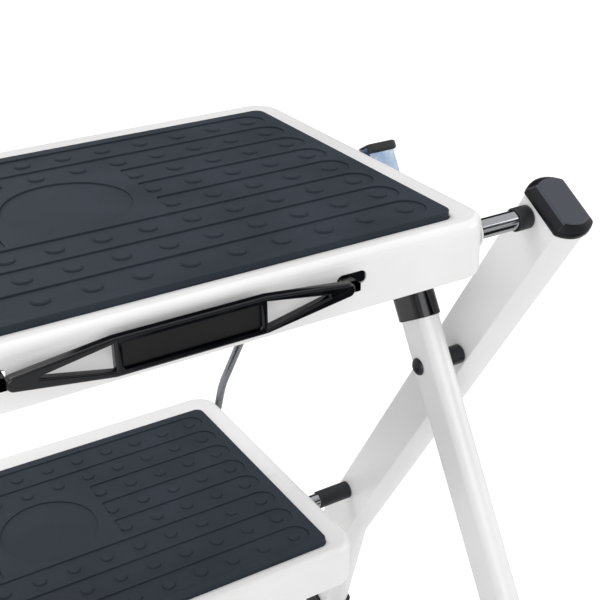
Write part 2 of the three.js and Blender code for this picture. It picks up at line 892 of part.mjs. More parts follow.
const linkBend = new THREE.Vector3(
  linkX,
  linkArm - Math.tan(lean) * linkBendRise + linkBendShift,
  linkArmRise + linkBendRise,
);
for (const [word, side] of sides) {
  const hookEnd = trayHalf - linkHook;
  const rise = topRod.clone().sub(lowerRod);
  const corners = [
    new THREE.Vector3(hookEnd, linkArm, linkArmRise),
    new THREE.Vector3(linkX, linkArm, linkArmRise),
    linkBend.clone(),
    new THREE.Vector3(linkX, linkArm + rise.y, linkArmRise + rise.z),
    new THREE.Vector3(hookEnd, linkArm + rise.y, linkArmRise + rise.z),
  ];
  for (const corner of corners) corner.x *= side;
  const circle = new THREE.Shape().absarc(0, 0, wireRadius, 0, 2 * Math.PI);
  const wire = new THREE.ExtrudeGeometry(circle, {
    steps: wireSteps,
    curveSegments: cornerSegments,
    bevelEnabled: false,
    extrudePath: roundedWire(corners, [linkHookRadius, linkBendRadius, linkHookRadius]),
  });
  addPiece(`step_link_${word}`, solidOf(wire), darkSteel(), lowerStep);
}

// ---- Carry handle -------------------------------------------------------------------------
// Drawn in XY with Y up, then stood against the apron of the top step.

function handleOutline(inset) {
  const grip = handleGripLength / 2;
  const half = handleGripHeight / 2 - inset;
  const end = handleLength / 2 - inset;
  const endHalf = handleEndHeight / 2 - inset;
  const shape = new THREE.Shape();
  shape.moveTo(-grip, -half);
  shape.lineTo(grip, -half);
  shape.lineTo(end - endHalf, handleEndRise - endHalf);
  shape.absarc(end - endHalf, handleEndRise, endHalf, -Math.PI / 2, Math.PI / 2);
  shape.lineTo(grip, half);
  shape.lineTo(-grip, half);
  shape.lineTo(endHalf - end, handleEndRise + endHalf);
  shape.absarc(endHalf - end, handleEndRise, endHalf, Math.PI / 2, 1.5 * Math.PI);
  shape.lineTo(-grip, -half);
  return shape;
}

function handleWindow(side) {
  const start = handleGripLength / 2;
  const half = handleGripHeight / 2 - handleRail;
  const tip = handleLength / 2 - handleTipLength;
  const points = [
    [start, half],
    [start, -half],
    [tip, handleEndRise - handleTipHeight / 2],
    [tip, handleEndRise + handleTipHeight / 2],
  ];
  const shape = new THREE.Shape(points.map(([x, y]) => new THREE.Vector2(side * x, y)));
  return solidOf(extruded(shape, -overcut, handleThickness + overcut));
}

const panelLength = handleGripLength - 2 * handleRail;
const panelHeight = handleGripHeight - 2 * handleRail;
const panel = extruded(
  roundedRectangle(panelLength, panelHeight, handlePanelCorner),
  handleThickness - handlePanelDepth,
  handleThickness + overcut,
  { curveSegments: traySegments },
);
const stubX = slotReach - slotLength / 2 + handleStubPlay + handleStubWidth / 2;
const barbBack = -handleStandoff - handleStubLength - sheet;
const stubs = sides.map(([, side]) => {
  const near = stubX - handleStubWidth / 2;
  const far = stubX + handleStubWidth / 2;
  const half = handleStubHeight / 2;
  const boss = sideBlock(side, near - handleStubBoss, far, -half, half, 0, handleThickness / 2);
  const shank = sideBlock(side, near, far, -half, half, barbBack, handleThickness / 2);
  const barbHalf = half + handleBarb;
  const barb = sideBlock(side, near, far, -barbHalf, barbHalf, barbBack, barbBack + handleBarb);
  return join(boss, shank, barb);
});
const handleBar = cut(
  solidOf(extruded(handleOutline(0), 0, handleThickness, { curveSegments: handleSegments })),
  handleWindow(-1),
  handleWindow(1),
  solidOf(panel),
);
const handle = join(handleBar, ...stubs).rotate(90, 0, 0);
const handleAt = new THREE.Vector3(handleShift, -topRodInset - handleStandoff, slotZ);
const handlePlace = groupAt(handleAt, 0, topStep);
addPiece("carry_handle", handle, blackPlastic(), handlePlace);

// The stool stands on z = 0 with the middle of its outline over the origin.
const bounds = new THREE.Box3().setFromObject(stool);
const middle = bounds.getCenter(new THREE.Vector3());
stool.position.set(-middle.x, -middle.y, -bounds.min.z);

export default stool;
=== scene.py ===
import math

import bmesh
import bpy
from mathutils import Matrix, Vector


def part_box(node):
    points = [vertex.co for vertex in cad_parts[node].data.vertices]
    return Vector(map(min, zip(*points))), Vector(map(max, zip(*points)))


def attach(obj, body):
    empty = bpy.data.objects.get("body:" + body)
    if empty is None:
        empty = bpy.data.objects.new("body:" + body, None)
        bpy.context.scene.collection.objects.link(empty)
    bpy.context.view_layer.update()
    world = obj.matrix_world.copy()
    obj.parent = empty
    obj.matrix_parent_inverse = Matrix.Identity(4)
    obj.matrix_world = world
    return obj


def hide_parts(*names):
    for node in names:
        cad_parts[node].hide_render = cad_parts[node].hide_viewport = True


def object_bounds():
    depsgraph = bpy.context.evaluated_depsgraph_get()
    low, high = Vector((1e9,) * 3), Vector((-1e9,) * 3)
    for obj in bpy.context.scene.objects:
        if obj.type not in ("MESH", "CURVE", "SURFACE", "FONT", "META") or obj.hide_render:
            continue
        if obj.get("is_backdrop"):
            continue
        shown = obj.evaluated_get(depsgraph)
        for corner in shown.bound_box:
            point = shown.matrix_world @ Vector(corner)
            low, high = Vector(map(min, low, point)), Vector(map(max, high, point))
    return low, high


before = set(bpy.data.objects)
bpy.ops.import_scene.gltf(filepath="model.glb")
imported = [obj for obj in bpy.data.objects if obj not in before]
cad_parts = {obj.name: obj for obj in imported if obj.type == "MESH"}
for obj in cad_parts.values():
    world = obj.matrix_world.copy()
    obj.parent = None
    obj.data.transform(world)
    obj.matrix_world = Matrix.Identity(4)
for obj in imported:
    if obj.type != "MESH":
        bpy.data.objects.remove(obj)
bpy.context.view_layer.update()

# The studio is a pale floor in a soft white room, lit by a window-like lamp low on the right, a
# wide lamp overhead and a fill lamp on the left. Dark cards that show only in reflections give
# metal and gloss their contrast. The camera looks down on the upper step from the handle side.


class Signal:
    """An output of a node, on which sums are worked out as in Python."""

    def __init__(self, tree, socket):
        self.tree = tree
        self.socket = socket

    def node(self, kind, settings, sockets, output=None):
        """Adds a node: its settings first, then the values or links of its sockets."""
        made = self.tree.nodes.new(kind)
        for name, value in settings.items():
            setattr(made, name, value)
        inlets = {inlet.identifier: inlet for inlet in made.inputs}
        for name, value in sockets.items():
            if isinstance(value, Signal):
                self.tree.links.new(value.socket, inlets[name])
            else:
                inlets[name].default_value = value
        outlets = {outlet.identifier: outlet for outlet in made.outputs}
        return Signal(self.tree, outlets[output] if output else made.outputs[0])

    def math(self, operation, first, second):
        return self.node("ShaderNodeMath", {"operation": operation}, {"Value": first, "Value_001": second})

    def __sub__(self, other):
        return self.math("SUBTRACT", self, other)

    def __rsub__(self, other):
        return self.math("SUBTRACT", other, self)

    def __mul__(self, other):
        return self.math("MULTIPLY", self, other)

    __rmul__ = __mul__

    def spread(self, low, high, to_low, to_high):
        """Carries the range low..high of this signal to to_low..to_high."""
        ends = {"From Min": low, "From Max": high, "To Min": to_low, "To Max": to_high}
        return self.node("ShaderNodeMapRange", {}, {"Value": self, **ends}, "Result")

    def tint(self, first, second):
        """The colour between two colours that this signal picks."""
        picks = {"Factor_Float": self, "A_Color": first, "B_Color": second}
        return self.node("ShaderNodeMix", {"data_type": "RGBA"}, picks, "Result_Color")

    def stretched(self, scale):
        return self.node("ShaderNodeMapping", {}, {"Vector": self, "Scale": scale}, "Vector")

    def noise(self, scale, detail=2.0, roughness=0.5):
        grain = {"Vector": self, "Scale": scale, "Detail": detail, "Roughness": roughness}
        return self.node("ShaderNodeTexNoise", {}, grain)

    def relief(self, depth, strength):
        """The normal of a surface that this height signal embosses by a depth in metres."""
        bump = {"Height": self, "Distance": depth, "Strength": strength}
        return self.node("ShaderNodeBump", {}, bump, "Normal")

    def into(self, inlet):
        self.tree.links.new(self.socket, inlet)


def tone(red, green, blue):
    """A colour on a 0-255 scale as a shader takes it."""
    parts = [part / 255 for part in (red, green, blue)]
    return [p / 12.92 if p <= 0.04045 else ((p + 0.055) / 1.055) ** 2.4 for p in parts] + [1.0]


def new_finish(name, constants):
    """A material with its plain values set; returns it, its inlets and the piece's coordinates."""
    finish = bpy.data.materials.new(name)
    finish.use_nodes = True
    shader = finish.node_tree.nodes["Principled BSDF"]
    for inlet, value in constants.items():
        shader.inputs[inlet].default_value = value
    start = Signal(finish.node_tree, None)
    return finish, shader.inputs, start.node("ShaderNodeTexCoord", {}, {}, "Object")


def add_object(name, data):
    """A new object with this data, linked to the scene."""
    made = bpy.data.objects.new(name, data)
    bpy.context.collection.objects.link(made)
    return made


mm = 0.001
top_tray_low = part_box("top_tray")[0]
top_mat_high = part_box("top_mat")[1]

view_turn = math.radians(-30.36)
view_tilt = math.radians(26.73)
view_roll = math.radians(-0.87)
view_place = (-0.1458, top_tray_low.y - 0.3422, top_mat_high.z + 0.1836)
flat = math.cos(view_tilt)
behind = Vector((math.sin(view_turn) * flat, -math.cos(view_turn) * flat, math.sin(view_tilt)))
level = Vector((math.cos(view_turn), math.sin(view_turn), 0))
rise = behind.cross(level)
across = level * math.cos(view_roll) + rise * math.sin(view_roll)
upward = rise * math.cos(view_roll) - level * math.sin(view_roll)
camera = add_object("camera", bpy.data.cameras.new("camera"))
camera.data.lens = 68.82
camera.data.sensor_width = 36
camera.data.clip_start = 0.02
facing = Matrix((across, upward, behind)).transposed().to_4x4()
camera.matrix_world = Matrix.Translation(view_place) @ facing
bpy.context.scene.camera = camera
bpy.context.scene.view_settings.view_transform = "Standard"

room = bpy.data.worlds.new("white_room")
bpy.context.scene.world = room
room.use_nodes = True
room_nodes = room.node_tree
room_light, room_seen = 0.62, 1.0
seen = Signal(room_nodes, None).node("ShaderNodeLightPath", {}, {}, "Is Camera Ray")
rays = seen.socket.node.outputs
mirrored = Signal(room_nodes, rays["Is Glossy Ray"])
passed = Signal(room_nodes, rays["Is Transmission Ray"])
direct = seen.math("MAXIMUM", seen.math("MAXIMUM", seen, mirrored), passed)
direct.spread(0.0, 1.0, room_light, room_seen).into(room_nodes.nodes["Background"].inputs["Strength"])
room_nodes.nodes["Background"].inputs["Color"].default_value = (1, 1, 1, 1)

lamps = [
    ("window_lamp", (2.1, -1.0, 1.3), (1.5, 1.0), 14.0),
    ("overhead_lamp", (-0.5, 0.9, 2.2), (1.6, 1.2), 21.0),
    ("fill_lamp", (-1.1, -1.9, 1.0), (1.8, 1.2), 18.0),
]
lamp_aim = Vector((0, 0, 0.4))
for name, place, size, power in lamps:
    lamp = bpy.data.lights.new(name, "AREA")
    lamp.shape = "RECTANGLE"
    lamp.size, lamp.size_y = size
    lamp.energy = power
    turn = (lamp_aim - Vector(place)).to_track_quat("-Z", "Y").to_matrix().to_4x4()
    add_object(name, lamp).matrix_world = Matrix.Translation(place) @ turn

floor_reach, floor_z, floor_glow = 9.0, -0.2 * mm, 0.42
floor_mesh = bpy.data.meshes.new("floor")
floor_mesh.from_pydata(
    [(x * floor_reach, y * floor_reach, floor_z) for x, y in ((-1, -1), (1, -1), (1, 1), (-1, 1))],
    [],
    [(0, 1, 2, 3)],
)
floor = add_object("floor", floor_mesh)
floor_paint, inlets, place = new_finish("floor_paint", {"Base Color": (0.8, 0.8, 0.8, 1), "Roughness": 0.9})
floor_nodes = floor_paint.node_tree.nodes
seen = place.node("ShaderNodeLightPath", {}, {}, "Is Camera Ray")
glow = place.node("ShaderNodeEmission", {}, {"Color": (1, 1, 1, 1), "Strength": seen * floor_glow})
plain = Signal(place.tree, floor_nodes["Principled BSDF"].outputs[0])
lit = place.node("ShaderNodeAddShader", {}, {"Shader": plain, "Shader_001": glow})
lit.into(floor_nodes["Material Output"].inputs["Surface"])
place.noise(3.0, 3.0).spread(0.3, 0.7, 0.85, 0.95).into(inlets["Roughness"])
floor_mesh.materials.append(floor_paint)
floor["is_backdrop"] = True

cards = [
    ("rear_card", (0.5, 2.3, 0.5), (2.4, 0.0, 0.0), (0.0, 0.0, 2.4)),
    ("front_card", (0.2, -1.9, 0.75), (1.7, 0.0, 0.0), (0.0, 0.0, 1.1)),
    ("low_card", (0.25, -1.0, 0.03), (0.8, 0.0, 0.0), (0.0, 0.75, 0.0)),
]
for name, corner, along, up in cards:
    card_mesh = bpy.data.meshes.new(name)
    start, along, up = Vector(corner), Vector(along), Vector(up)
    card_mesh.from_pydata([start, start + along, start + along + up, start + up], [], [(0, 1, 2, 3)])
    card = add_object(name, card_mesh)
    card_paint, inlets, place = new_finish(
        f"{name}_paint", {"Base Color": (0.01, 0.01, 0.01, 1), "Roughness": 0.9, "Specular IOR Level": 0.1}
    )
    place.noise(2.0).spread(0.3, 0.7, 0.85, 0.95).into(inlets["Roughness"])
    card_mesh.materials.append(card_paint)
    card.visible_camera = False
    card.visible_diffuse = False
    card.visible_shadow = False
    card.visible_transmission = False
    card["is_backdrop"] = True

# The uprights are flat-oval steel tubes, powder coated white. Both lean back over the steps, are
# drilled for the two cross rods and the scissor rivet, and splay outwards below the lower rod.


def loft(rings, wrap=False):
    """A skin over rings of points; its ends are closed, or joined to each other."""
    count = len(rings[0])
    points = [point for ring in rings for point in ring]
    faces = []
    for low in range(len(rings) if wrap else len(rings) - 1):
        high = (low + 1) % len(rings)
        for i in range(count):
            j = (i + 1) % count
            faces.append((low * count + i, low * count + j, high * count + j, high * count + i))
    if not wrap:
        faces.append(tuple(reversed(range(count))))
        faces.append(tuple(range(len(points) - count, len(points))))
    return points, faces


def turned(profile, y, z, side=1, steps=48):
    """A skin turned about a line along X through (y, z), from a closed profile of (x, radius)."""
    turns = [2 * math.pi * i / steps for i in range(steps)]
    rings = [
        [(side * x, y + radius * math.cos(turn), z + radius * math.sin(turn)) for turn in turns]
        for x, radius in profile
    ]
    return loft(rings, wrap=True)


def bore(near, far, radius, y, z, side, steps=48):
    """A plug for cutting a round hole along X through (y, z)."""
    return turned([(near, 0), (near, radius), (far, radius), (far, 0)], y, z, side, steps)


def make_piece(name, skins, finish):
    """A smooth-shaded piece from skins in millimetres."""
    body = bmesh.new()
    for points, faces in skins:
        corners = [body.verts.new([part * mm for part in point]) for point in points]
        for face in faces:
            body.faces.new([corners[i] for i in face])
        bmesh.ops.remove_doubles(body, verts=corners, dist=0.004 * mm)
    bmesh.ops.recalc_face_normals(body, faces=body.faces)
    mesh = bpy.data.meshes.new(name)
    body.to_mesh(mesh)
    body.free()
    mesh.materials.append(finish)
    mesh.shade_smooth()
    return add_object(name, mesh)


def settle(piece):
    """Turns what the piece's modifiers make into its plain mesh."""
    ready = piece.evaluated_get(bpy.context.evaluated_depsgraph_get())
    mesh = bpy.data.meshes.new_from_object(ready)
    piece.modifiers.clear()
    piece.data = mesh


def cut_away(piece, skins):
    """Cuts closed skins out of a piece, one after another."""
    for skin in skins:
        tool = make_piece("tool", [skin], piece.data.materials[0])
        cut = piece.modifiers.new("cut", "BOOLEAN")
        cut.operation = "DIFFERENCE"
        cut.solver = "EXACT"
        cut.object = tool
        settle(piece)
        bpy.data.objects.remove(tool)


def level_faces(piece, crease):
    """Keeps creases sharp and shades the large faces flat; the narrow ones take the turn."""
    piece.data.set_sharp_from_angle(angle=math.radians(crease))
    weigh = piece.modifiers.new("weigh", "WEIGHTED_NORMAL")
    weigh.keep_sharp = True
    weigh.weight = 90
    settle(piece)


def fit(piece, crease, body, slot, *nodes):
    """Fixes a finished piece to a body, in the place of the solids that it stands for."""
    level_faces(piece, crease)
    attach(piece, body)
    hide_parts(*nodes)


def flat_oval(width, thickness, nose, grow=0.0, ease=1.3, steps=10):
    """Outline of a flat-oval tube: flats across X, noses along Y, eased where they meet."""
    half = thickness / 2 + grow
    arc = (thickness * thickness / 4 + nose * nose) / (2 * nose)
    middle = width / 2 - arc
    arc += grow
    ease = min(ease, half * 0.9)
    start = math.sqrt(max((arc - ease) ** 2 - (half - ease) ** 2, 0.0))
    lead = math.atan2(start, half - ease)
    outline = []
    for i in range(steps // 2 + 1):
        turn = lead * i / (steps // 2)
        outline.append((half - ease + ease * math.cos(turn), middle + start + ease * math.sin(turn)))
    for i in range(1, steps):
        turn = lead + (math.pi - 2 * lead) * i / steps
        outline.append((arc * math.cos(turn), middle + arc * math.sin(turn)))
    for i in range(steps // 2 + 1):
        turn = math.pi - lead + lead * i / (steps // 2)
        outline.append((ease - half + ease * math.cos(turn), middle + start + ease * math.sin(turn)))
    return outline + [(-x, -y) for x, y in outline]


def middle_of(node):
    """The middle of a node's box, in millimetres."""
    low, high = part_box(node)
    return (low + high) / 2 / mm


def ends_of(node):
    """The ends of a node's box along X, in millimetres."""
    low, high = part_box(node)
    return low.x / mm, high.x / mm


sides = (("left", -1), ("right", 1))
top_rod = middle_of("top_rod")
lower_rod = middle_of("lower_rod")
rods = (("top", top_rod), ("lower", lower_rod))
rod_span = math.hypot(top_rod.y - lower_rod.y, top_rod.z - lower_rod.z)
lean = math.atan2(lower_rod.y - top_rod.y, top_rod.z - lower_rod.z)
upright_width, upright_thickness, upright_nose = 32.0, 20.0, 4.0
upright_wall, upright_top, upright_offset = 1.5, 10.5, 4.8
upright_inner = ends_of("top_rod_spacer_right")[1] + 0.3
upright_middle = upright_inner + upright_thickness / 2
splay, splay_radius, splay_drop = math.radians(14), 60.0, 34.0
splay_start = -rod_span - splay_drop
sole_height = 12.0
straight_end = (sole_height - top_rod.z + upright_offset * math.sin(lean)) / math.cos(lean)
splay_rise = splay_radius * math.sin(splay)
splay_length = (splay_start - splay_rise - straight_end) / math.cos(splay)
upright_bottom = splay_start - splay_radius * splay - splay_length


def on_upright(side, x, y, z):
    """A point given across, through and along an upright, on the bent tube."""
    run = max(splay_start - z, 0.0)
    turn = min(run / splay_radius, splay)
    beyond = max(run - splay_radius * splay, 0.0)
    if run > 0:
        z = splay_start - splay_radius * math.sin(turn) - beyond * math.cos(turn) + x * math.sin(turn)
        x = x * math.cos(turn) + splay_radius * (1 - math.cos(turn)) + beyond * math.sin(turn)
    y -= upright_offset
    return (
        side * (upright_middle + x),
        top_rod.y + y * math.cos(lean) - z * math.sin(lean),
        top_rod.z + y * math.sin(lean) + z * math.cos(lean),
    )


def upright_ring(side, z, grow=0.0):
    outline = flat_oval(upright_width, upright_thickness, upright_nose, grow)
    return [on_upright(side, x, y, z) for x, y in outline]


white_coat, inlets, place = new_finish(
    "white_powder_coat",
    {"Base Color": tone(237, 236, 236), "Roughness": 0.32, "Coat Weight": 0.25, "Coat Roughness": 0.18},
)
peel = place.noise(620.0, 2.0, 0.4)
cloud = place.noise(14.0, 3.0)
cloud.spread(0.3, 0.7, 0.26, 0.38).into(inlets["Roughness"])
cloud.spread(0.35, 0.65, 0.0, 1.0).tint(tone(234, 233, 233), tone(239, 238, 238)).into(inlets["Base Color"])
peel.relief(0.03 * mm, 0.5).into(inlets["Normal"])

rod_hole, pin_hole, bore_reach = 4.65, 3.15, 4.0
pivot = middle_of("pivot_bush_right")
bend_levels = [splay_start - splay_radius * splay * i / 24 for i in range(25)]
tube_levels = [upright_bottom, upright_bottom + 40] + bend_levels[::-1]
tube_levels += [-rod_span, -100, 0, upright_top]
for word, side in sides:
    outer = [upright_ring(side, z) for z in tube_levels]
    inner = [upright_ring(side, z, -upright_wall) for z in reversed(tube_levels)]
    tube = make_piece(f"upright_tube_{word}", [loft(outer + inner, wrap=True)], white_coat)
    near, far = upright_inner - bore_reach, upright_inner + upright_thickness + bore_reach
    holes = [
        bore(near, far, radius, at.y, at.z, side)
        for radius, at in ((rod_hole, top_rod), (rod_hole, lower_rod), (pin_hole, pivot))
    ]
    cut_away(tube, holes)
    fit(tube, 32, "outer_frame", "white_steel", f"front_upright_{word}")

# Each upright ends at the top in a pushed-on cap, moulded in grey plastic with thick soft shoulders and a
# short skirt round the tube. The grained crown is painted lighter grey as painted light and the smooth sides
# near-black as painted shade, though the cap is one plastic all over.

# Painted light: the crown's lighter grey stands in for light falling on the top of the one plastic.
cap_painted_light_crown, inlets, place = new_finish(
    "cap_painted_light_crown", {"Base Color": tone(60, 62, 71), "Roughness": 0.42, "Specular IOR Level": 0.3}
)
grain = place.noise(1500.0, 3.0, 0.6)
haze = place.noise(60.0, 2.0)
haze.spread(0.3, 0.7, 0.36, 0.48).into(inlets["Roughness"])
haze.tint(tone(58, 60, 69), tone(65, 67, 76)).into(inlets["Base Color"])
grain.relief(0.02 * mm, 0.4).into(inlets["Normal"])

# Painted shade: the same plastic is painted near-black on the sides, which face away from the light.
cap_painted_shade_sides, inlets, place = new_finish(
    "cap_painted_shade_sides", {"Base Color": tone(18, 19, 23), "Roughness": 0.35, "Specular IOR Level": 0.2}
)
streak = place.stretched((300.0, 300.0, 40.0)).noise(1.0, 2.0)
streak.spread(0.3, 0.7, 0.28, 0.42).into(inlets["Roughness"])
streak.tint(tone(14, 15, 19), tone(22, 23, 28)).into(inlets["Base Color"])

cap_wall, cap_skirt, cap_crown = 1.0, 3.3, 3.2
cap_shoulder = ((0.1, 4.4), (0.3, 3.6), (0.8, 2.8), (3.0, 0.65), (3.6, 0.2), (4.4, 0.0))
socket_gap = 0.3
upright_axis = Vector((0, -math.sin(lean), math.cos(lean)))
for word, side in sides:
    rim = upright_top - cap_skirt
    crown = upright_top + cap_crown
    steps = [(socket_gap, upright_top + socket_gap), (socket_gap, rim)]
    steps += [(cap_wall - 0.6, rim), (cap_wall, rim + 0.6)]
    steps += [(cap_wall - inset, crown - below) for inset, below in cap_shoulder]
    rings = [upright_ring(side, z, grow) for grow, z in steps]
    cap = make_piece(f"upright_end_cap_{word}", [loft(rings)], cap_painted_light_crown)
    cap.data.materials.append(cap_painted_shade_sides)
    # Faces along the upright take the painted-light crown colour; all other faces take the painted-shade side
    # colour.
    for face in cap.data.polygons:
        face.material_index = 0 if face.normal.dot(upright_axis) > 0.8 else 1
    fit(cap, 60, "outer_frame", "grey_plastic", f"upright_cap_{word}")

# The front feet are shoes of black rubber, moulded with ribs round them and pushed over the
# splayed tube ends. Their soles are cut level with the floor.

foot_rubber, inlets, place = new_finish(
    "foot_rubber", {"Base Color": tone(30, 31, 34), "Roughness": 0.7, "Specular IOR Level": 0.25}
)
dust = place.noise(90.0, 4.0, 0.6)
crumb = place.noise(900.0, 2.0)
dust.spread(0.35, 0.75, 0.62, 0.82).into(inlets["Roughness"])
dust.spread(0.45, 0.75, 0.0, 1.0).tint(tone(31, 32, 35), tone(47, 47, 49)).into(inlets["Base Color"])
crumb.relief(0.03 * mm, 0.6).into(inlets["Normal"])


def stand_on_floor(piece):
    """Cuts a piece off level with the floor and closes the cut."""
    body = bmesh.new()
    body.from_mesh(piece.data)
    parts = body.verts[:] + body.edges[:] + body.faces[:]
    floor_plane = {"plane_co": (0, 0, 0), "plane_no": (0, 0, 1), "clear_inner": True}
    made = bmesh.ops.bisect_plane(body, geom=parts, **floor_plane)
    rim = [part for part in made["geom_cut"] if isinstance(part, bmesh.types.BMEdge)]
    bmesh.ops.holes_fill(body, edges=rim)
    bmesh.ops.recalc_face_normals(body, faces=body.faces)
    body.to_mesh(piece.data)
    body.free()


shoe_skirt, shoe_wall, shoe_ribs, rib_pitch = 32.0, 2.5, 5, 5.2


def shoe_steps(bottom):
    """Growth and height of a shoe's rings: a socket, a rounded lip and ribs down to the sole."""
    top, thin = bottom + shoe_skirt, shoe_wall - 0.7
    steps = [(socket_gap, bottom - socket_gap), (socket_gap, top), (thin, top), (shoe_wall, top - 0.7)]
    for rib in range(shoe_ribs):
        groove = top - 5.0 - rib * rib_pitch
        steps += [(shoe_wall, groove), (thin, groove - 0.5), (thin, groove - 1.4), (shoe_wall, groove - 1.9)]
    return steps + [(shoe_wall, bottom - shoe_skirt)]


for word, side in sides:
    rings = [upright_ring(side, z, grow) for grow, z in shoe_steps(upright_bottom)]
    shoe = make_piece(f"front_shoe_{word}", [loft(rings)], foot_rubber)
    stand_on_floor(shoe)
    fit(shoe, 40, "outer_frame", "black_plastic", f"front_foot_{word}")

# Two chromed cross rods carry the steps. Each is held outside the uprights by domed push-on nuts
# of zinc-plated steel, and a short black sleeve keeps the step clear of each upright.

chrome, inlets, place = new_finish(
    "bright_chrome", {"Base Color": tone(160, 162, 166), "Metallic": 1.0, "Roughness": 0.1}
)
draw = place.stretched((30.0, 1400.0, 1400.0)).noise(1.0, 3.0, 0.6)
smear = place.noise(55.0, 3.0)
smear.spread(0.35, 0.75, 0.06, 0.2).into(inlets["Roughness"])
draw.relief(0.004 * mm, 0.35).into(inlets["Normal"])

zinc, inlets, place = new_finish(
    "bright_zinc_plate", {"Base Color": tone(158, 176, 198), "Metallic": 1.0, "Roughness": 0.25}
)
bloom = place.noise(70.0, 3.0, 0.6)
rolled = place.stretched((1200.0, 1200.0, 60.0)).noise(1.0, 2.0)
bloom.spread(0.3, 0.7, 0.0, 1.0).tint(tone(138, 162, 194), tone(190, 196, 200)).into(inlets["Base Color"])
bloom.spread(0.3, 0.7, 0.18, 0.34).into(inlets["Roughness"])
rolled.relief(0.01 * mm, 0.3).into(inlets["Normal"])

sleeve_plastic, inlets, place = new_finish(
    "sleeve_plastic", {"Base Color": tone(28, 29, 32), "Roughness": 0.45, "Specular IOR Level": 0.3}
)
flow = place.stretched((60.0, 500.0, 500.0)).noise(1.0, 3.0)
flow.spread(0.3, 0.7, 0.36, 0.52).into(inlets["Roughness"])
flow.tint(tone(27, 28, 31), tone(37, 38, 41)).into(inlets["Base Color"])
flow.relief(0.02 * mm, 0.3).into(inlets["Normal"])

rod_radius, rod_bevel = 4.5, 0.8
nut_bore, sleeve_radius = rod_radius + 0.3, 5.45
nut_steps = [(0, nut_bore), (0, 6.7), (0.3, 7.0), (0.9, 7.0), (1.2, 6.6), (1.5, 6.4), (2.6, 6.1)]
nut_steps += [(3.3, 5.4), (3.8, 4.0), (4.0, 2.2), (4.0, 0), (2.8, 0), (2.8, nut_bore)]
for name, rod in rods:
    end = ends_of(f"{name}_rod")[1]
    tip = rod_radius - rod_bevel
    profile = [(-end, 0), (-end, tip), (rod_bevel - end, rod_radius)]
    profile += [(end - rod_bevel, rod_radius), (end, tip), (end, 0)]
    bar = make_piece(f"{name}_cross_rod", [turned(profile, rod.y, rod.z, 1, 64)], chrome)
    fit(bar, 32, "outer_frame", "chrome_rod", f"{name}_rod")
    for word, side in sides:
        start = ends_of(f"{name}_rod_nut_right")[0]
        profile = [(start + x, radius) for x, radius in nut_steps]
        nut = make_piece(f"{name}_push_nut_{word}", [turned(profile, rod.y, rod.z, side)], zinc)
        fit(nut, 50, "outer_frame", "zinc_steel", f"{name}_rod_nut_{word}")

        near, far = ends_of(f"{name}_rod_spacer_right")
        tip = sleeve_radius - 0.35
        profile = [(near, rod_hole), (near, tip), (near + 0.35, sleeve_radius)]
        profile += [(far - 0.35, sleeve_radius), (far, tip), (far, rod_hole)]
        sleeve = make_piece(f"{name}_sleeve_{word}", [turned(profile, rod.y, rod.z, side)], sleeve_plastic)
        fit(sleeve, 50, "outer_frame", "black_plastic", f"{name}_rod_spacer_{word}")

# The rear legs are narrower oval steel tubes, powder coated white, crossed inside the uprights on
# the scissor rivets. A welded round tube joins them near the floor.

leg_width, leg_thickness = 25.0, 12.0
leg_middle = middle_of("rear_leg_right").x
leg_inner = leg_middle - leg_thickness / 2
leg_lean = math.radians(30.5)
leg_top, leg_sole, leg_offset = 43.0, 15.0, 4.0
leg_bottom = -(pivot.z - leg_sole + leg_offset * math.sin(leg_lean)) / math.cos(leg_lean)


def on_leg(side, x, y, z):
    """A point given across, through and along a rear leg, from the scissor pivot."""
    return (
        side * (leg_middle + x),
        pivot.y + y * math.cos(leg_lean) + z * math.sin(leg_lean),
        pivot.z - y * math.sin(leg_lean) + z * math.cos(leg_lean),
    )


def leg_ring(side, z, grow=0.0):
    outline = flat_oval(leg_width, leg_thickness, leg_thickness / 2, grow)
    return [on_leg(side, x, y - leg_offset, z) for x, y in outline]


catch_pin = middle_of("catch_pin_right")
catch_pin_hole = 2.65
for word, side in sides:
    outer = [leg_ring(side, z) for z in (leg_bottom, leg_bottom / 2, 0, leg_top)]
    inner = [leg_ring(side, z, -upright_wall) for z in (leg_top, 0, leg_bottom / 2, leg_bottom)]
    tube = make_piece(f"rear_tube_{word}", [loft(outer + inner, wrap=True)], white_coat)
    near, far = leg_inner - bore_reach, leg_inner + leg_thickness + bore_reach
    holes = [
        bore(near, far, radius, at.y, at.z, side)
        for radius, at in ((pin_hole, pivot), (catch_pin_hole, catch_pin))
    ]
    cut_away(tube, holes)
    fit(tube, 32, "rear_frame", "white_steel", f"rear_leg_{word}")

bar = middle_of("rear_crossbar")
bar_end = ends_of("rear_crossbar")[1]
bar_radius, bar_bore = 8.0, 6.5
tip = bar_radius - 0.1
profile = [(-bar_end, bar_bore), (-bar_end, tip), (1 - bar_end, bar_radius)]
profile += [(bar_end - 1, bar_radius), (bar_end, tip), (bar_end, bar_bore)]
crossbar = make_piece("welded_crossbar", [turned(profile, bar.y, bar.z)], white_coat)
fit(crossbar, 32, "rear_frame", "white_steel", "rear_crossbar")

# A glossy black moulded cap is pushed on the top of each rear leg, slit at its far edge for the
# tongue of the support catch.

gloss_plastic, inlets, place = new_finish(
    "gloss_black_plastic", {"Base Color": tone(7, 8, 11), "Roughness": 0.16, "Specular IOR Level": 0.4}
)
ripple = place.noise(120.0, 2.0)
speck = place.noise(1700.0, 2.0)
ripple.spread(0.3, 0.7, 0.08, 0.18).into(inlets["Roughness"])
ripple.tint(tone(5, 6, 9), tone(9, 10, 15)).into(inlets["Base Color"])
speck.relief(0.008 * mm, 0.35).into(inlets["Normal"])

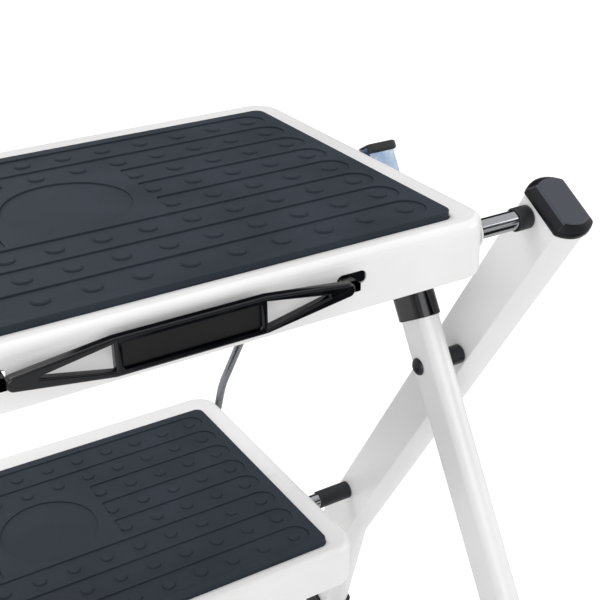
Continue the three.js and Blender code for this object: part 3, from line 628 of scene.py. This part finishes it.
leg_cap_wall, leg_cap_skirt, leg_cap_crown, leg_cap_round = 0.8, 19.5, 4.0, 2.0
slit_low_y, slit_high_y, slit_gap, tongue_thickness = -11.8, 12.0, 0.3, 1.8
tongue_outer = leg_inner + leg_thickness - upright_wall - socket_gap
tongue_plate = tongue_outer - tongue_thickness
for word, side in sides:
    grown = leg_cap_wall + socket_gap
    rim = leg_top - leg_cap_skirt
    crown = leg_top + leg_cap_crown
    steps = [(socket_gap, leg_top + socket_gap), (socket_gap, rim), (grown - 0.5, rim), (grown, rim + 0.5)]
    for i in range(7):
        turn = math.pi / 2 * i / 6
        inset, below = leg_cap_round * (1 - math.cos(turn)), leg_cap_round * (1 - math.sin(turn))
        steps.append((grown - inset, crown - below))
    rings = [leg_ring(side, z, grow) for grow, z in steps]
    cap = make_piece(f"leg_end_cap_{word}", [loft(rings)], gloss_plastic)
    low_x, high_x = tongue_plate - slit_gap - leg_middle, tongue_outer + slit_gap - leg_middle
    slit_ends = ((low_x, slit_low_y), (high_x, slit_low_y), (high_x, slit_high_y), (low_x, slit_high_y))
    slit = [[on_leg(side, x, y, z) for x, y in slit_ends] for z in (leg_top - 1, crown + 1)]
    cut_away(cap, [loft(slit)])
    fit(cap, 50, "rear_frame", "black_plastic", f"leg_cap_{word}")

# The rear feet are shoes of the same ribbed black rubber, smaller, pushed over the straight leg
# ends and cut level with the floor as well.

for word, side in sides:
    rings = [leg_ring(side, z, grow) for grow, z in shoe_steps(leg_bottom)]
    shoe = make_piece(f"rear_shoe_{word}", [loft(rings)], foot_rubber)
    stand_on_floor(shoe)
    fit(shoe, 40, "rear_frame", "black_plastic", f"rear_foot_{word}")

# A blackened steel rivet passes through each leg and upright, with a dark spacer bush between
# the two tubes.

black_steel, inlets, place = new_finish(
    "blackened_steel", {"Base Color": tone(48, 49, 53), "Metallic": 0.7, "Roughness": 0.38}
)
oxide = place.noise(260.0, 3.0, 0.6)
oxide.spread(0.3, 0.7, 0.3, 0.5).into(inlets["Roughness"])
oxide.tint(tone(40, 41, 45), tone(58, 59, 63)).into(inlets["Base Color"])
oxide.relief(0.01 * mm, 0.4).into(inlets["Normal"])

head, tail = ends_of("pivot_rivet_right")
near, far = ends_of("pivot_bush_right")
rivet_profile = [(head, 0), (head, 2.0), (head + 0.35, 3.5), (head + 1.0, 4.3), (head + 1.6, 4.5)]
rivet_profile += [(head + 1.6, 3.0), (tail - 1.6, 3.0)]
rivet_profile += [(tail - 1.6, 4.5), (tail - 1.0, 4.3), (tail - 0.35, 3.5), (tail, 2.0), (tail, 0)]
bush_profile = [(near, pin_hole), (near, 4.5), (near + 0.5, 5.0)]
bush_profile += [(far - 0.5, 5.0), (far, 4.5), (far, pin_hole)]
for word, side in sides:
    for kind, profile in (("rivet", rivet_profile), ("bush", bush_profile)):
        turning = turned(profile, pivot.y, pivot.z, side)
        turning = make_piece(f"scissor_{kind}_{word}", [turning], black_steel)
        fit(turning, 40, "outer_frame", "dark_steel", f"pivot_{kind}_{word}")

# The support catches are folded zinc-plated stampings, each pinned in the top of a leg; a
# notch in the inner flange drops over a stud of the upper step.


def softened(node, name, finish, width):
    """A copy of a solid with its facets merged and its edges rounded."""
    body = bmesh.new()
    body.from_mesh(bpy.data.objects[node].data)
    bmesh.ops.remove_doubles(body, verts=body.verts, dist=0.01 * mm)
    bmesh.ops.dissolve_limit(body, angle_limit=math.radians(0.6), verts=body.verts, edges=body.edges)
    mesh = bpy.data.meshes.new(name)
    body.to_mesh(mesh)
    body.free()
    mesh.materials.clear()
    mesh.materials.append(finish)
    mesh.shade_smooth()
    piece = add_object(name, mesh)
    edge = piece.modifiers.new("edge", "BEVEL")
    edge.width = width * mm
    edge.segments = 3
    edge.limit_method = "ANGLE"
    edge.angle_limit = math.radians(50)
    settle(piece)
    return piece


for word, side in sides:
    catch = softened(f"support_catch_{word}", f"zinc_catch_{word}", zinc, 0.35)
    fit(catch, 30, f"catch_{word}", "zinc_steel", f"support_catch_{word}")
    grip = softened(f"catch_grip_{word}", f"catch_finger_strip_{word}", sleeve_plastic, 0.3)
    fit(grip, 30, f"catch_{word}", "black_plastic", f"catch_grip_{word}")

    rivet_at = middle_of("catch_rivet_right")
    low, high = ends_of("catch_rivet_right")
    profile = [(low, 0), (low, 2.4), (low + 0.4, 3.0), (low + 1.2, 3.0), (low + 1.2, 1.5)]
    profile += [(high - 2.2, 1.5), (high - 2.2, 3.0), (high - 1.5, 2.9), (high - 0.8, 2.4)]
    profile += [(high - 0.25, 1.4), (high, 0)]
    bead = turned(profile, rivet_at.y, rivet_at.z, side, 32)
    bead = make_piece(f"catch_bead_rivet_{word}", [bead], zinc)
    fit(bead, 50, f"catch_{word}", "zinc_steel", f"catch_rivet_{word}")

    low, high = ends_of("catch_pin_right")
    profile = [(low, 0), (low, 2.1), (low + 0.4, 2.5), (high - 0.4, 2.5), (high, 2.1), (high, 0)]
    pin = turned(profile, catch_pin.y, catch_pin.z, side, 32)
    pin = make_piece(f"catch_hinge_pin_{word}", [pin], black_steel)
    fit(pin, 50, "rear_frame", "dark_steel", f"catch_pin_{word}")

# Each step is a tray pressed from one steel sheet: a round shoulder all round, a sunk bed for the
# mat and a hem folded in along the bottom edge. It is powder coated like the frame.


def rectangle(low_x, high_x, low_y, high_y, corner, z, steps=10):
    """A rounded rectangle at one height, anticlockwise."""
    corners = (
        (high_x - corner, high_y - corner, 0),
        (low_x + corner, high_y - corner, 90),
        (low_x + corner, low_y + corner, 180),
        (high_x - corner, low_y + corner, 270),
    )
    ring = []
    for x, y, start in corners:
        for i in range(steps + 1):
            turn = math.radians(start + 90 * i / steps)
            ring.append((x + corner * math.cos(turn), y + corner * math.sin(turn), z))
    return ring


def inset_ring(low, high, corner, inset, z):
    """A rounded rectangle at one height, set in from the sides of a box."""
    ends = (low.x + inset, high.x - inset, low.y + inset, high.y - inset)
    return rectangle(*ends, max(corner - inset, 0.8), z)


def standing(outline, *depths):
    """A skin between depths along Y, from an outline drawn across X and Z."""
    return loft([[(x, y, z) for x, z, _ in outline] for y in depths])


sheet, shoulder, hem = 1.5, 4.0, 5.0
tray_corner, mat_corner = 15.0, 5.0
bed_depth, bed_gap = 3.0, 0.3
bush_bore, link_bore, stud_bore = 6.35, 2.9, 4.3
slot_reach, slot_half, slot_rise, slot_corner = 73.5, 7, 2.8, 2.75
link_low, link_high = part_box("step_link_right")
path_inset = 2.3
link_ends = {
    "top": (link_low.y / mm + path_inset, link_high.z / mm - path_inset),
    "lower": (link_high.y / mm - path_inset, link_low.z / mm + path_inset),
}
stud = middle_of("support_stud_right")
handle_middle = middle_of("carry_handle").x
slot_z = middle_of("carry_handle").z
for name, rod in rods:
    low, high = (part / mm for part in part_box(f"{name}_tray"))
    tray_box = (low, high, tray_corner)
    bed_box = (*(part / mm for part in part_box(f"{name}_mat")), mat_corner)
    outer = [(tray_box, sheet + hem, low.z), (tray_box, 1.2, low.z)]
    outer += [(tray_box, 0.35, low.z + 0.35), (tray_box, 0, low.z + 1.2)]
    for i in range(9):
        turn = math.pi / 2 * i / 8
        inset, below = shoulder * (1 - math.cos(turn)), shoulder * (1 - math.sin(turn))
        outer.append((tray_box, inset, high.z - below))
    outer += [(bed_box, -bed_gap - 0.5, high.z), (bed_box, -bed_gap - 0.15, high.z - 0.15)]
    outer += [(bed_box, -bed_gap, high.z - 0.5), (bed_box, -bed_gap, high.z - bed_depth)]
    under = [(bed_box, -bed_gap - sheet, high.z - bed_depth - sheet)]
    under += [(tray_box, shoulder + 1, high.z - sheet), (tray_box, sheet + 0.8, high.z - shoulder)]
    under += [(tray_box, sheet, high.z - shoulder - 2), (tray_box, sheet, low.z + sheet)]
    under += [(tray_box, sheet + hem, low.z + sheet)]
    rings = [inset_ring(*box, inset, z) for box, inset, z in outer + under]
    points, faces = loft(rings, wrap=True)
    count = len(rings[0])
    bed = (len(outer) - 1) * count
    del faces[bed : bed + count]
    faces.append(tuple(range(bed, bed + count)))
    faces.append(tuple(reversed(range(bed + count, bed + 2 * count))))
    tray = make_piece(f"{name}_step_tray", [(points, faces)], white_coat)
    holes = []
    near, far = high.x - sheet - 2, high.x + 2
    for side in (-1, 1):
        holes.append(bore(near, far, bush_bore, rod.y, rod.z, side, 32))
        holes.append(bore(near, far, link_bore, *link_ends[name], side, 32))
        if name == "top":
            holes.append(bore(near, far, stud_bore, stud.y, stud.z, side, 32))
            middle = handle_middle + side * slot_reach
            slot_ends = (middle - slot_half, middle + slot_half, slot_z - slot_rise, slot_z + slot_rise)
            holes.append(standing(rectangle(*slot_ends, slot_corner, 0), low.y - 2, low.y + sheet + 2))
    cut_away(tray, holes)
    fit(tray, 40, f"{name}_step", "white_steel", f"{name}_tray")

# White nylon bushes, flanged against the tray walls, let each step turn on its rod; two zinc
# studs on the upper tray seat in the catches.

nylon, inlets, place = new_finish("white_nylon", {"Base Color": tone(228, 228, 224), "Roughness": 0.4})
milk = place.noise(240.0, 2.0)
milk.spread(0.3, 0.7, 0.32, 0.48).into(inlets["Roughness"])
milk.tint(tone(222, 222, 217), tone(234, 234, 231)).into(inlets["Base Color"])
milk.relief(0.01 * mm, 0.3).into(inlets["Normal"])

for name, rod in rods:
    low, high = ends_of(f"{name}_step_bush_right")
    profile = [(low, rod_hole), (low, 5.6), (low + 0.4, 6.05), (high - 1.2, 6.05), (high - 1.2, 7.4)]
    profile += [(high - 0.9, 7.65), (high - 0.4, 7.5), (high, 6.8), (high, rod_hole)]
    for word, side in sides:
        bush = make_piece(f"{name}_nylon_bush_{word}", [turned(profile, rod.y, rod.z, side)], nylon)
        fit(bush, 50, f"{name}_step", "white_plastic", f"{name}_step_bush_{word}")

low, high = ends_of("support_stud_right")
profile = [(low, 0), (low, 4.2), (low + 0.7, 5.2), (low + 2.2, 5.2), (low + 2.2, 4.0)]
profile += [(high - 2.2, 4.0), (high - 2.2, 5.2), (high - 0.7, 5.2), (high, 4.2), (high, 0)]
for word, side in sides:
    peg = make_piece(f"seat_stud_{word}", [turned(profile, stud.y, stud.z, side)], zinc)
    fit(peg, 40, "top_step", "zinc_steel", f"support_stud_{word}")

# The mats are moulded from anthracite rubber and lie in the trays: eight round-ended channels with
# a raised grip dot every 20 mm, and a plain sunk medallion that breaks the middle channels.

rubber, inlets, place = new_finish(
    "mat_rubber", {"Base Color": tone(43, 49, 57), "Roughness": 0.6, "Specular IOR Level": 0.15}
)
pebble = place.noise(1100.0, 3.0, 0.6)
bloom = place.noise(32.0, 3.0, 0.55)
bloom.spread(0.3, 0.7, 0.54, 0.68).into(inlets["Roughness"])
bloom.spread(0.3, 0.7, 0.0, 1.0).tint(tone(40, 46, 54), tone(47, 53, 62)).into(inlets["Base Color"])
pebble.relief(0.03 * mm, 0.45).into(inlets["Normal"])


def new_tree(name, inputs):
    """An empty Geometry Nodes tree with named inputs; returns it and its inputs as signals."""
    tree = bpy.data.node_groups.new(name, "GeometryNodeTree")
    for label, kind in inputs.items():
        tree.interface.new_socket(label, in_out="INPUT", socket_type=f"NodeSocket{kind}")
    tree.interface.new_socket("Shape", in_out="OUTPUT", socket_type="NodeSocketGeometry")
    entry = tree.nodes.new("NodeGroupInput")
    return tree, {outlet.name: Signal(tree, outlet) for outlet in entry.outputs}


def end_tree(tree, shape, finish):
    """Makes a tree's instances real and gives its shape a finish."""
    real = shape.node("GeometryNodeRealizeInstances", {}, {"Geometry": shape})
    coated = shape.node("GeometryNodeSetMaterial", {}, {"Geometry": real, "Material": finish})
    tree.links.new(coated.socket, tree.nodes.new("NodeGroupOutput").inputs[0])


def run_tree(piece, tree, values):
    """Gives a piece the plain mesh that a tree makes from the values of its inputs."""
    grow = piece.modifiers.new("grow", "NODES")
    grow.node_group = tree
    for item in tree.interface.items_tree:
        if item.name in values:
            grow[item.identifier] = values[item.name]
    settle(piece)


dot_inputs = {"Columns": "Int", "Rows": "Int", "Pitch": "Float", "Dot radius": "Float"}
dot_inputs.update({"Dot height": "Float", "Bare radius": "Float", "Bare centre": "Vector"})
dot_inputs.update({"Centre": "Vector", "Finish": "Material"})
dot_tree, given = new_tree("grip_dots", dot_inputs)
columns, rows, pitch = given["Columns"], given["Rows"], given["Pitch"]
grid_sizes = {"Size X": (columns - 1) * pitch, "Size Y": (rows - 1) * pitch}
grid_sizes.update({"Vertices X": columns, "Vertices Y": rows})
grid = columns.node("GeometryNodeMeshGrid", {}, grid_sizes)
spot = columns.node("GeometryNodeInputPosition", {}, {})
shift = {"Vector": spot, "Vector_001": given["Centre"]}
placed = spot.node("ShaderNodeVectorMath", {"operation": "ADD"}, shift)
moved = grid.node("GeometryNodeSetPosition", {}, {"Geometry": grid, "Position": placed})
apart = {"Vector": spot, "Vector_001": given["Bare centre"]}
offset = spot.node("ShaderNodeVectorMath", {"operation": "SUBTRACT"}, apart)
length = offset.node("ShaderNodeVectorMath", {"operation": "LENGTH"}, {"Vector": offset}, "Value")
less = {"data_type": "FLOAT", "operation": "LESS_THAN"}
inside = length.node("FunctionNodeCompare", less, {"A": length, "B": given["Bare radius"]})
kept = moved.node("GeometryNodeDeleteGeometry", {"domain": "POINT"}, {"Geometry": moved, "Selection": inside})
layers = []
for wide, narrow, tall in ((1.0, 0.97, 0.6), (0.95, 0.84, 1.0)):
    sizes = {
        "Vertices": 24,
        "Radius Top": given["Dot radius"] * narrow,
        "Radius Bottom": given["Dot radius"] * wide,
        "Depth": given["Dot height"] * tall,
    }
    layers.append(columns.node("GeometryNodeMeshCone", {}, sizes, "Mesh"))
dot = columns.node("GeometryNodeJoinGeometry", {}, {"Geometry": layers[0]})
dot_tree.links.new(layers[1].socket, dot.socket.node.inputs[0])
spread_dots = dot.node("GeometryNodeInstanceOnPoints", {}, {"Points": kept, "Instance": dot})
end_tree(dot_tree, spread_dots, given["Finish"])


def channel_outline(from_x, to_x, y, half, blunt=False):
    """A channel along X with round ends, or with its inner end cut square."""
    outline = []
    for i in range(13):
        turn = math.radians(-90 + 15 * i)
        outline.append((to_x - half + half * math.cos(turn), y + half * math.sin(turn)))
    for i in range(13):
        turn = math.radians(90 + 15 * i)
        radius = 2.0 if blunt else half
        lift = (half - radius) * (1 if turn < math.pi else -1)
        outline.append((from_x + radius + radius * math.cos(turn), y + lift + radius * math.sin(turn)))
    return outline


def cut_sheet(name, outlines, half, edge, rounds):
    """A flat sheet inside the first outline and outside the others, with rounded edges."""
    sketch = bpy.data.curves.new(name, "CURVE")
    sketch.dimensions = "2D"
    sketch.fill_mode = "BOTH"
    sketch.bevel_depth = edge * mm
    sketch.offset = -edge * mm
    sketch.bevel_resolution = rounds
    sketch.extrude = half * mm
    for outline in outlines:
        line = sketch.splines.new("POLY")
        line.points.add(len(outline) - 1)
        for point, (x, y) in zip(line.points, outline):
            point.co = (x * mm, y * mm, 0, 1)
        line.use_cyclic_u = True
    holder = add_object(name, sketch)
    ready = holder.evaluated_get(bpy.context.evaluated_depsgraph_get())
    mesh = bpy.data.meshes.new_from_object(ready)
    bpy.data.objects.remove(holder)
    return mesh


dot_pitch, dot_columns, dot_radius = 20.0, 13, 3.9
channel_rows, channel_half, channel_reach, channel_depth = 8, 8.9, 129.5, 0.85
medallion_radius, medallion_gap = 28.4, 7.6
bare_radius, rows_shift = medallion_radius + medallion_gap, 0.5
land_edge, land_half = 0.2, (channel_depth + 0.3) / 2
for name in ("top", "lower"):
    low, high = (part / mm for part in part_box(f"{name}_mat"))
    centre_y = (low.y + high.y) / 2 - rows_shift
    medallion_y = centre_y + dot_pitch / 2
    outlines = [[(x, y) for x, y, _ in inset_ring(low, high, mat_corner, 0, 0)]]
    for row in range(channel_rows):
        y = centre_y + (row - (channel_rows - 1) / 2) * dot_pitch
        if abs(y - medallion_y) < dot_pitch * 1.5:
            near = channel_outline(bare_radius, channel_reach, y, channel_half, blunt=True)
            outlines += [near, [(-x, edge) for x, edge in near]]
        else:
            outlines.append(channel_outline(-channel_reach, channel_reach, y, channel_half))
    medallion = []
    for i in range(72):
        turn = math.radians(5 * i)
        medallion.append((medallion_radius * math.cos(turn), medallion_y + medallion_radius * math.sin(turn)))
    land = cut_sheet("land", outlines + [medallion], land_half, land_edge, 2)
    land.transform(Matrix.Translation((0, 0, (high.z - land_half - land_edge) * mm)))

    channel_z = high.z - channel_depth
    slab_steps = ((0.3, low.z), (0, low.z + 0.3), (0, channel_z - 0.1), (0.1, channel_z))
    slab_rings = [inset_ring(low, high, mat_corner, cut, z) for cut, z in slab_steps]
    slab = make_piece(f"{name}_step_mat", [loft(slab_rings)], rubber)

    dots_mesh = bpy.data.meshes.new("dots")
    dots_mesh.from_pydata([(0, 0, 0)], [], [])
    dots = add_object("dots", dots_mesh)
    values = {"Columns": dot_columns, "Rows": channel_rows, "Pitch": dot_pitch * mm}
    values.update({"Dot radius": dot_radius * mm, "Dot height": channel_depth * mm})
    values.update({"Bare radius": bare_radius * mm, "Bare centre": (0, medallion_y * mm, channel_z * mm)})
    values.update({"Centre": (0, centre_y * mm, channel_z * mm), "Finish": rubber})
    run_tree(dots, dot_tree, values)

    body = bmesh.new()
    for part in (slab.data, land, dots.data):
        body.from_mesh(part)
    bmesh.ops.remove_doubles(body, verts=body.verts, dist=0.002 * mm)
    for face in body.faces:
        face.smooth = True
    body.to_mesh(slab.data)
    body.free()
    bpy.data.objects.remove(dots)
    fit(slab, 40, f"{name}_step", "mat_rubber", f"{name}_mat")

# The step links are single lengths of bright steel wire. A hook at each end turns in through the
# tray wall; just above the lower hook the wire is cranked out past the tray's edge.

wire_steel, inlets, place = new_finish(
    "bright_wire", {"Base Color": tone(122, 125, 131), "Metallic": 1.0, "Roughness": 0.24}
)
drawn = place.stretched((900.0, 900.0, 40.0)).noise(1.0, 3.0)
drawn.spread(0.3, 0.7, 0.18, 0.34).into(inlets["Roughness"])
drawn.tint(tone(112, 115, 121), tone(136, 139, 145)).into(inlets["Base Color"])
drawn.relief(0.008 * mm, 0.3).into(inlets["Normal"])

wire_tree, given = new_tree("bent_wire", {"Path": "Geometry", "Wire radius": "Float", "Finish": "Material"})
route = given["Path"].node("GeometryNodeMeshToCurve", {}, {"Mesh": given["Path"]})
circle = {"Resolution": 20, "Radius": given["Wire radius"]}
profile = route.node("GeometryNodeCurvePrimitiveCircle", {"mode": "RADIUS"}, circle, "Curve")
sweep = {"Curve": route, "Profile Curve": profile, "Fill Caps": True}
end_tree(wire_tree, route.node("GeometryNodeCurveToMesh", {}, sweep), given["Finish"])


def rounded_path(corners, bends, steps=12):
    """A path through corners, with a smooth bend of the given reach at each inner corner."""
    path = [corners[0]]
    for before, corner, after, reach in zip(corners, corners[1:], corners[2:], bends):
        start = corner + (before - corner).normalized() * reach
        end = corner + (after - corner).normalized() * reach
        for i in range(steps + 1):
            t = i / steps
            path.append(start * (1 - t) ** 2 + corner * 2 * t * (1 - t) + end * t ** 2)
    return path + [corners[-1]]


hook_end, wire_x = link_low.x / mm, link_high.x / mm - path_inset
wire_radius, hook_bend, crank_bend = 2.75, 3.2, 12
crank_rise, crank_shift = 24.0, 6.0
top_y, top_z = link_ends["top"]
lower_y, lower_z = link_ends["lower"]
crank_y = lower_y - math.tan(lean) * crank_rise + crank_shift
for word, side in sides:
    corners = [
        Vector((side * x, y, z)) * mm
        for x, y, z in (
            (hook_end, top_y, top_z),
            (wire_x, top_y, top_z),
            (wire_x, crank_y, lower_z + crank_rise),
            (wire_x, lower_y, lower_z),
            (hook_end, lower_y, lower_z),
        )
    ]
    points = rounded_path(corners, [hook_bend * mm, crank_bend * mm, hook_bend * mm])
    path_mesh = bpy.data.meshes.new(f"wire_link_{word}")
    path_mesh.from_pydata(points, [(i, i + 1) for i in range(len(points) - 1)], [])
    link = add_object(f"wire_link_{word}", path_mesh)
    run_tree(link, wire_tree, {"Wire radius": wire_radius * mm, "Finish": wire_steel})
    link.data.shade_smooth()
    link.data.set_sharp_from_angle(angle=math.radians(40))
    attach(link, f"link_{word}")
    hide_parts(f"step_link_{word}")

# The carry handle is one glossy black moulding: a textured grip in the middle, two open wings
# that taper to round ends, and a stub behind each end that snaps into a slot of the tray.

grip_plastic, inlets, place = new_finish(
    "grip_panel", {"Base Color": tone(20, 20, 21), "Roughness": 0.55, "Specular IOR Level": 0.25}
)
weave = place.noise(1400.0, 2.0, 0.6)
shine = place.noise(70.0, 2.0)
shine.spread(0.3, 0.7, 0.46, 0.62).into(inlets["Roughness"])
shine.tint(tone(16, 16, 17), tone(23, 23, 24)).into(inlets["Base Color"])
weave.relief(0.06 * mm, 0.6).into(inlets["Normal"])

handle_low, handle_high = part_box("carry_handle")
handle_half = handle_high.x / mm - handle_middle
handle_front, handle_rear = handle_low.y / mm, handle_high.y / mm
handle_length, handle_thickness, handle_edge = 139.0, 4.3, 1.0
handle_back = handle_front + handle_thickness
grip_half, grip_height = 30.5, 15.6
end_height, end_rise = 6.0, 0.6
rail, panel_depth, panel_corner = 2.3, 2.0, 1.5
window_end = 12.0

half, tip = grip_height / 2, end_height / 2
end = handle_length / 2 - tip
outline = [(grip_half, -half)]
for i in range(13):
    turn = math.radians(-90 + 15 * i)
    outline.append((end + tip * math.cos(turn), end_rise + tip * math.sin(turn)))
outline.append((grip_half, half))
outline += [(-x, y) for x, y in reversed(outline)]

window_tip = handle_length / 2 - window_end
half = grip_height / 2 - rail
wing = [(grip_half, half), (grip_half, -half), (window_tip, end_rise - 0.4), (window_tip, end_rise + 0.4)]
outlines = [outline, wing, [(-x, y) for x, y in wing]]
strap_mesh = cut_sheet("handle", outlines, handle_thickness / 2 - handle_edge, handle_edge, 3)
stand = Matrix.Translation((handle_middle * mm, (handle_front + handle_back) / 2 * mm, slot_z * mm))
strap_mesh.transform(stand @ Matrix.Rotation(math.pi / 2, 4, "X"))
body = bmesh.new()
body.from_mesh(strap_mesh)
bmesh.ops.remove_doubles(body, verts=body.verts, dist=0.002 * mm)
bmesh.ops.recalc_face_normals(body, faces=body.faces)
body.to_mesh(strap_mesh)
body.free()
strap_mesh.materials.append(gloss_plastic)
strap_mesh.shade_smooth()
strap = add_object("carry_strap", strap_mesh)

reach, rise = grip_half - rail, grip_height / 2 - rail
panel_ends = (handle_middle - reach, handle_middle + reach, slot_z - rise, slot_z + rise)
panel = rectangle(*panel_ends, panel_corner, 0)
cut_away(strap, [standing(panel, handle_front - 1, handle_front + panel_depth)])
level_faces(strap, 40)
inlay_rings = []
for inset, depth in ((0.4, panel_depth + 0.2), (0.4, 1.7), (0.8, 1.4)):
    y = handle_front + depth
    ends = (panel_ends[0] + inset, panel_ends[1] - inset, panel_ends[2] + inset, panel_ends[3] - inset)
    inlay_rings.append([(x, y, z) for x, z, _ in rectangle(*ends, panel_corner - 0.4, 0)])
pad = make_piece("pad", [loft(inlay_rings)], grip_plastic)

stub_blocks = (
    (handle_half - 9, handle_half, 1.8, handle_front + 2.2, handle_back + 0.6),
    (handle_half - 5, handle_half + 7.0, 2.2, top_tray_low.y / mm + 0.5, handle_rear - 1.2),
    (handle_half - 5, handle_half, 1.8, handle_front + 2.2, handle_rear),
    (handle_half - 5, handle_half, 3.0, handle_rear - 1.2, handle_rear),
)
stub_skins = []
for side in (-1, 1):
    for from_x, to_x, half_z, from_y, to_y in stub_blocks:
        low_x, high_x = sorted((handle_middle + side * from_x, handle_middle + side * to_x))
        ring = rectangle(low_x, high_x, slot_z - half_z, slot_z + half_z, half_z - 1.2, 0, 4)
        stub_skins.append(standing(ring, from_y, to_y))
stubs = make_piece("stubs", stub_skins, gloss_plastic)

body = bmesh.new()
body.from_mesh(strap.data)
for part, index in ((pad, 1), (stubs, 0)):
    count = len(body.faces)
    body.from_mesh(part.data)
    body.faces.ensure_lookup_table()
    for face in body.faces[count:]:
        face.material_index = index
    bpy.data.objects.remove(part)
strap.data.materials.append(grip_plastic)
body.to_mesh(strap.data)
body.free()
fit(strap, 40, "handle", "black_plastic", "carry_handle")

low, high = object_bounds()
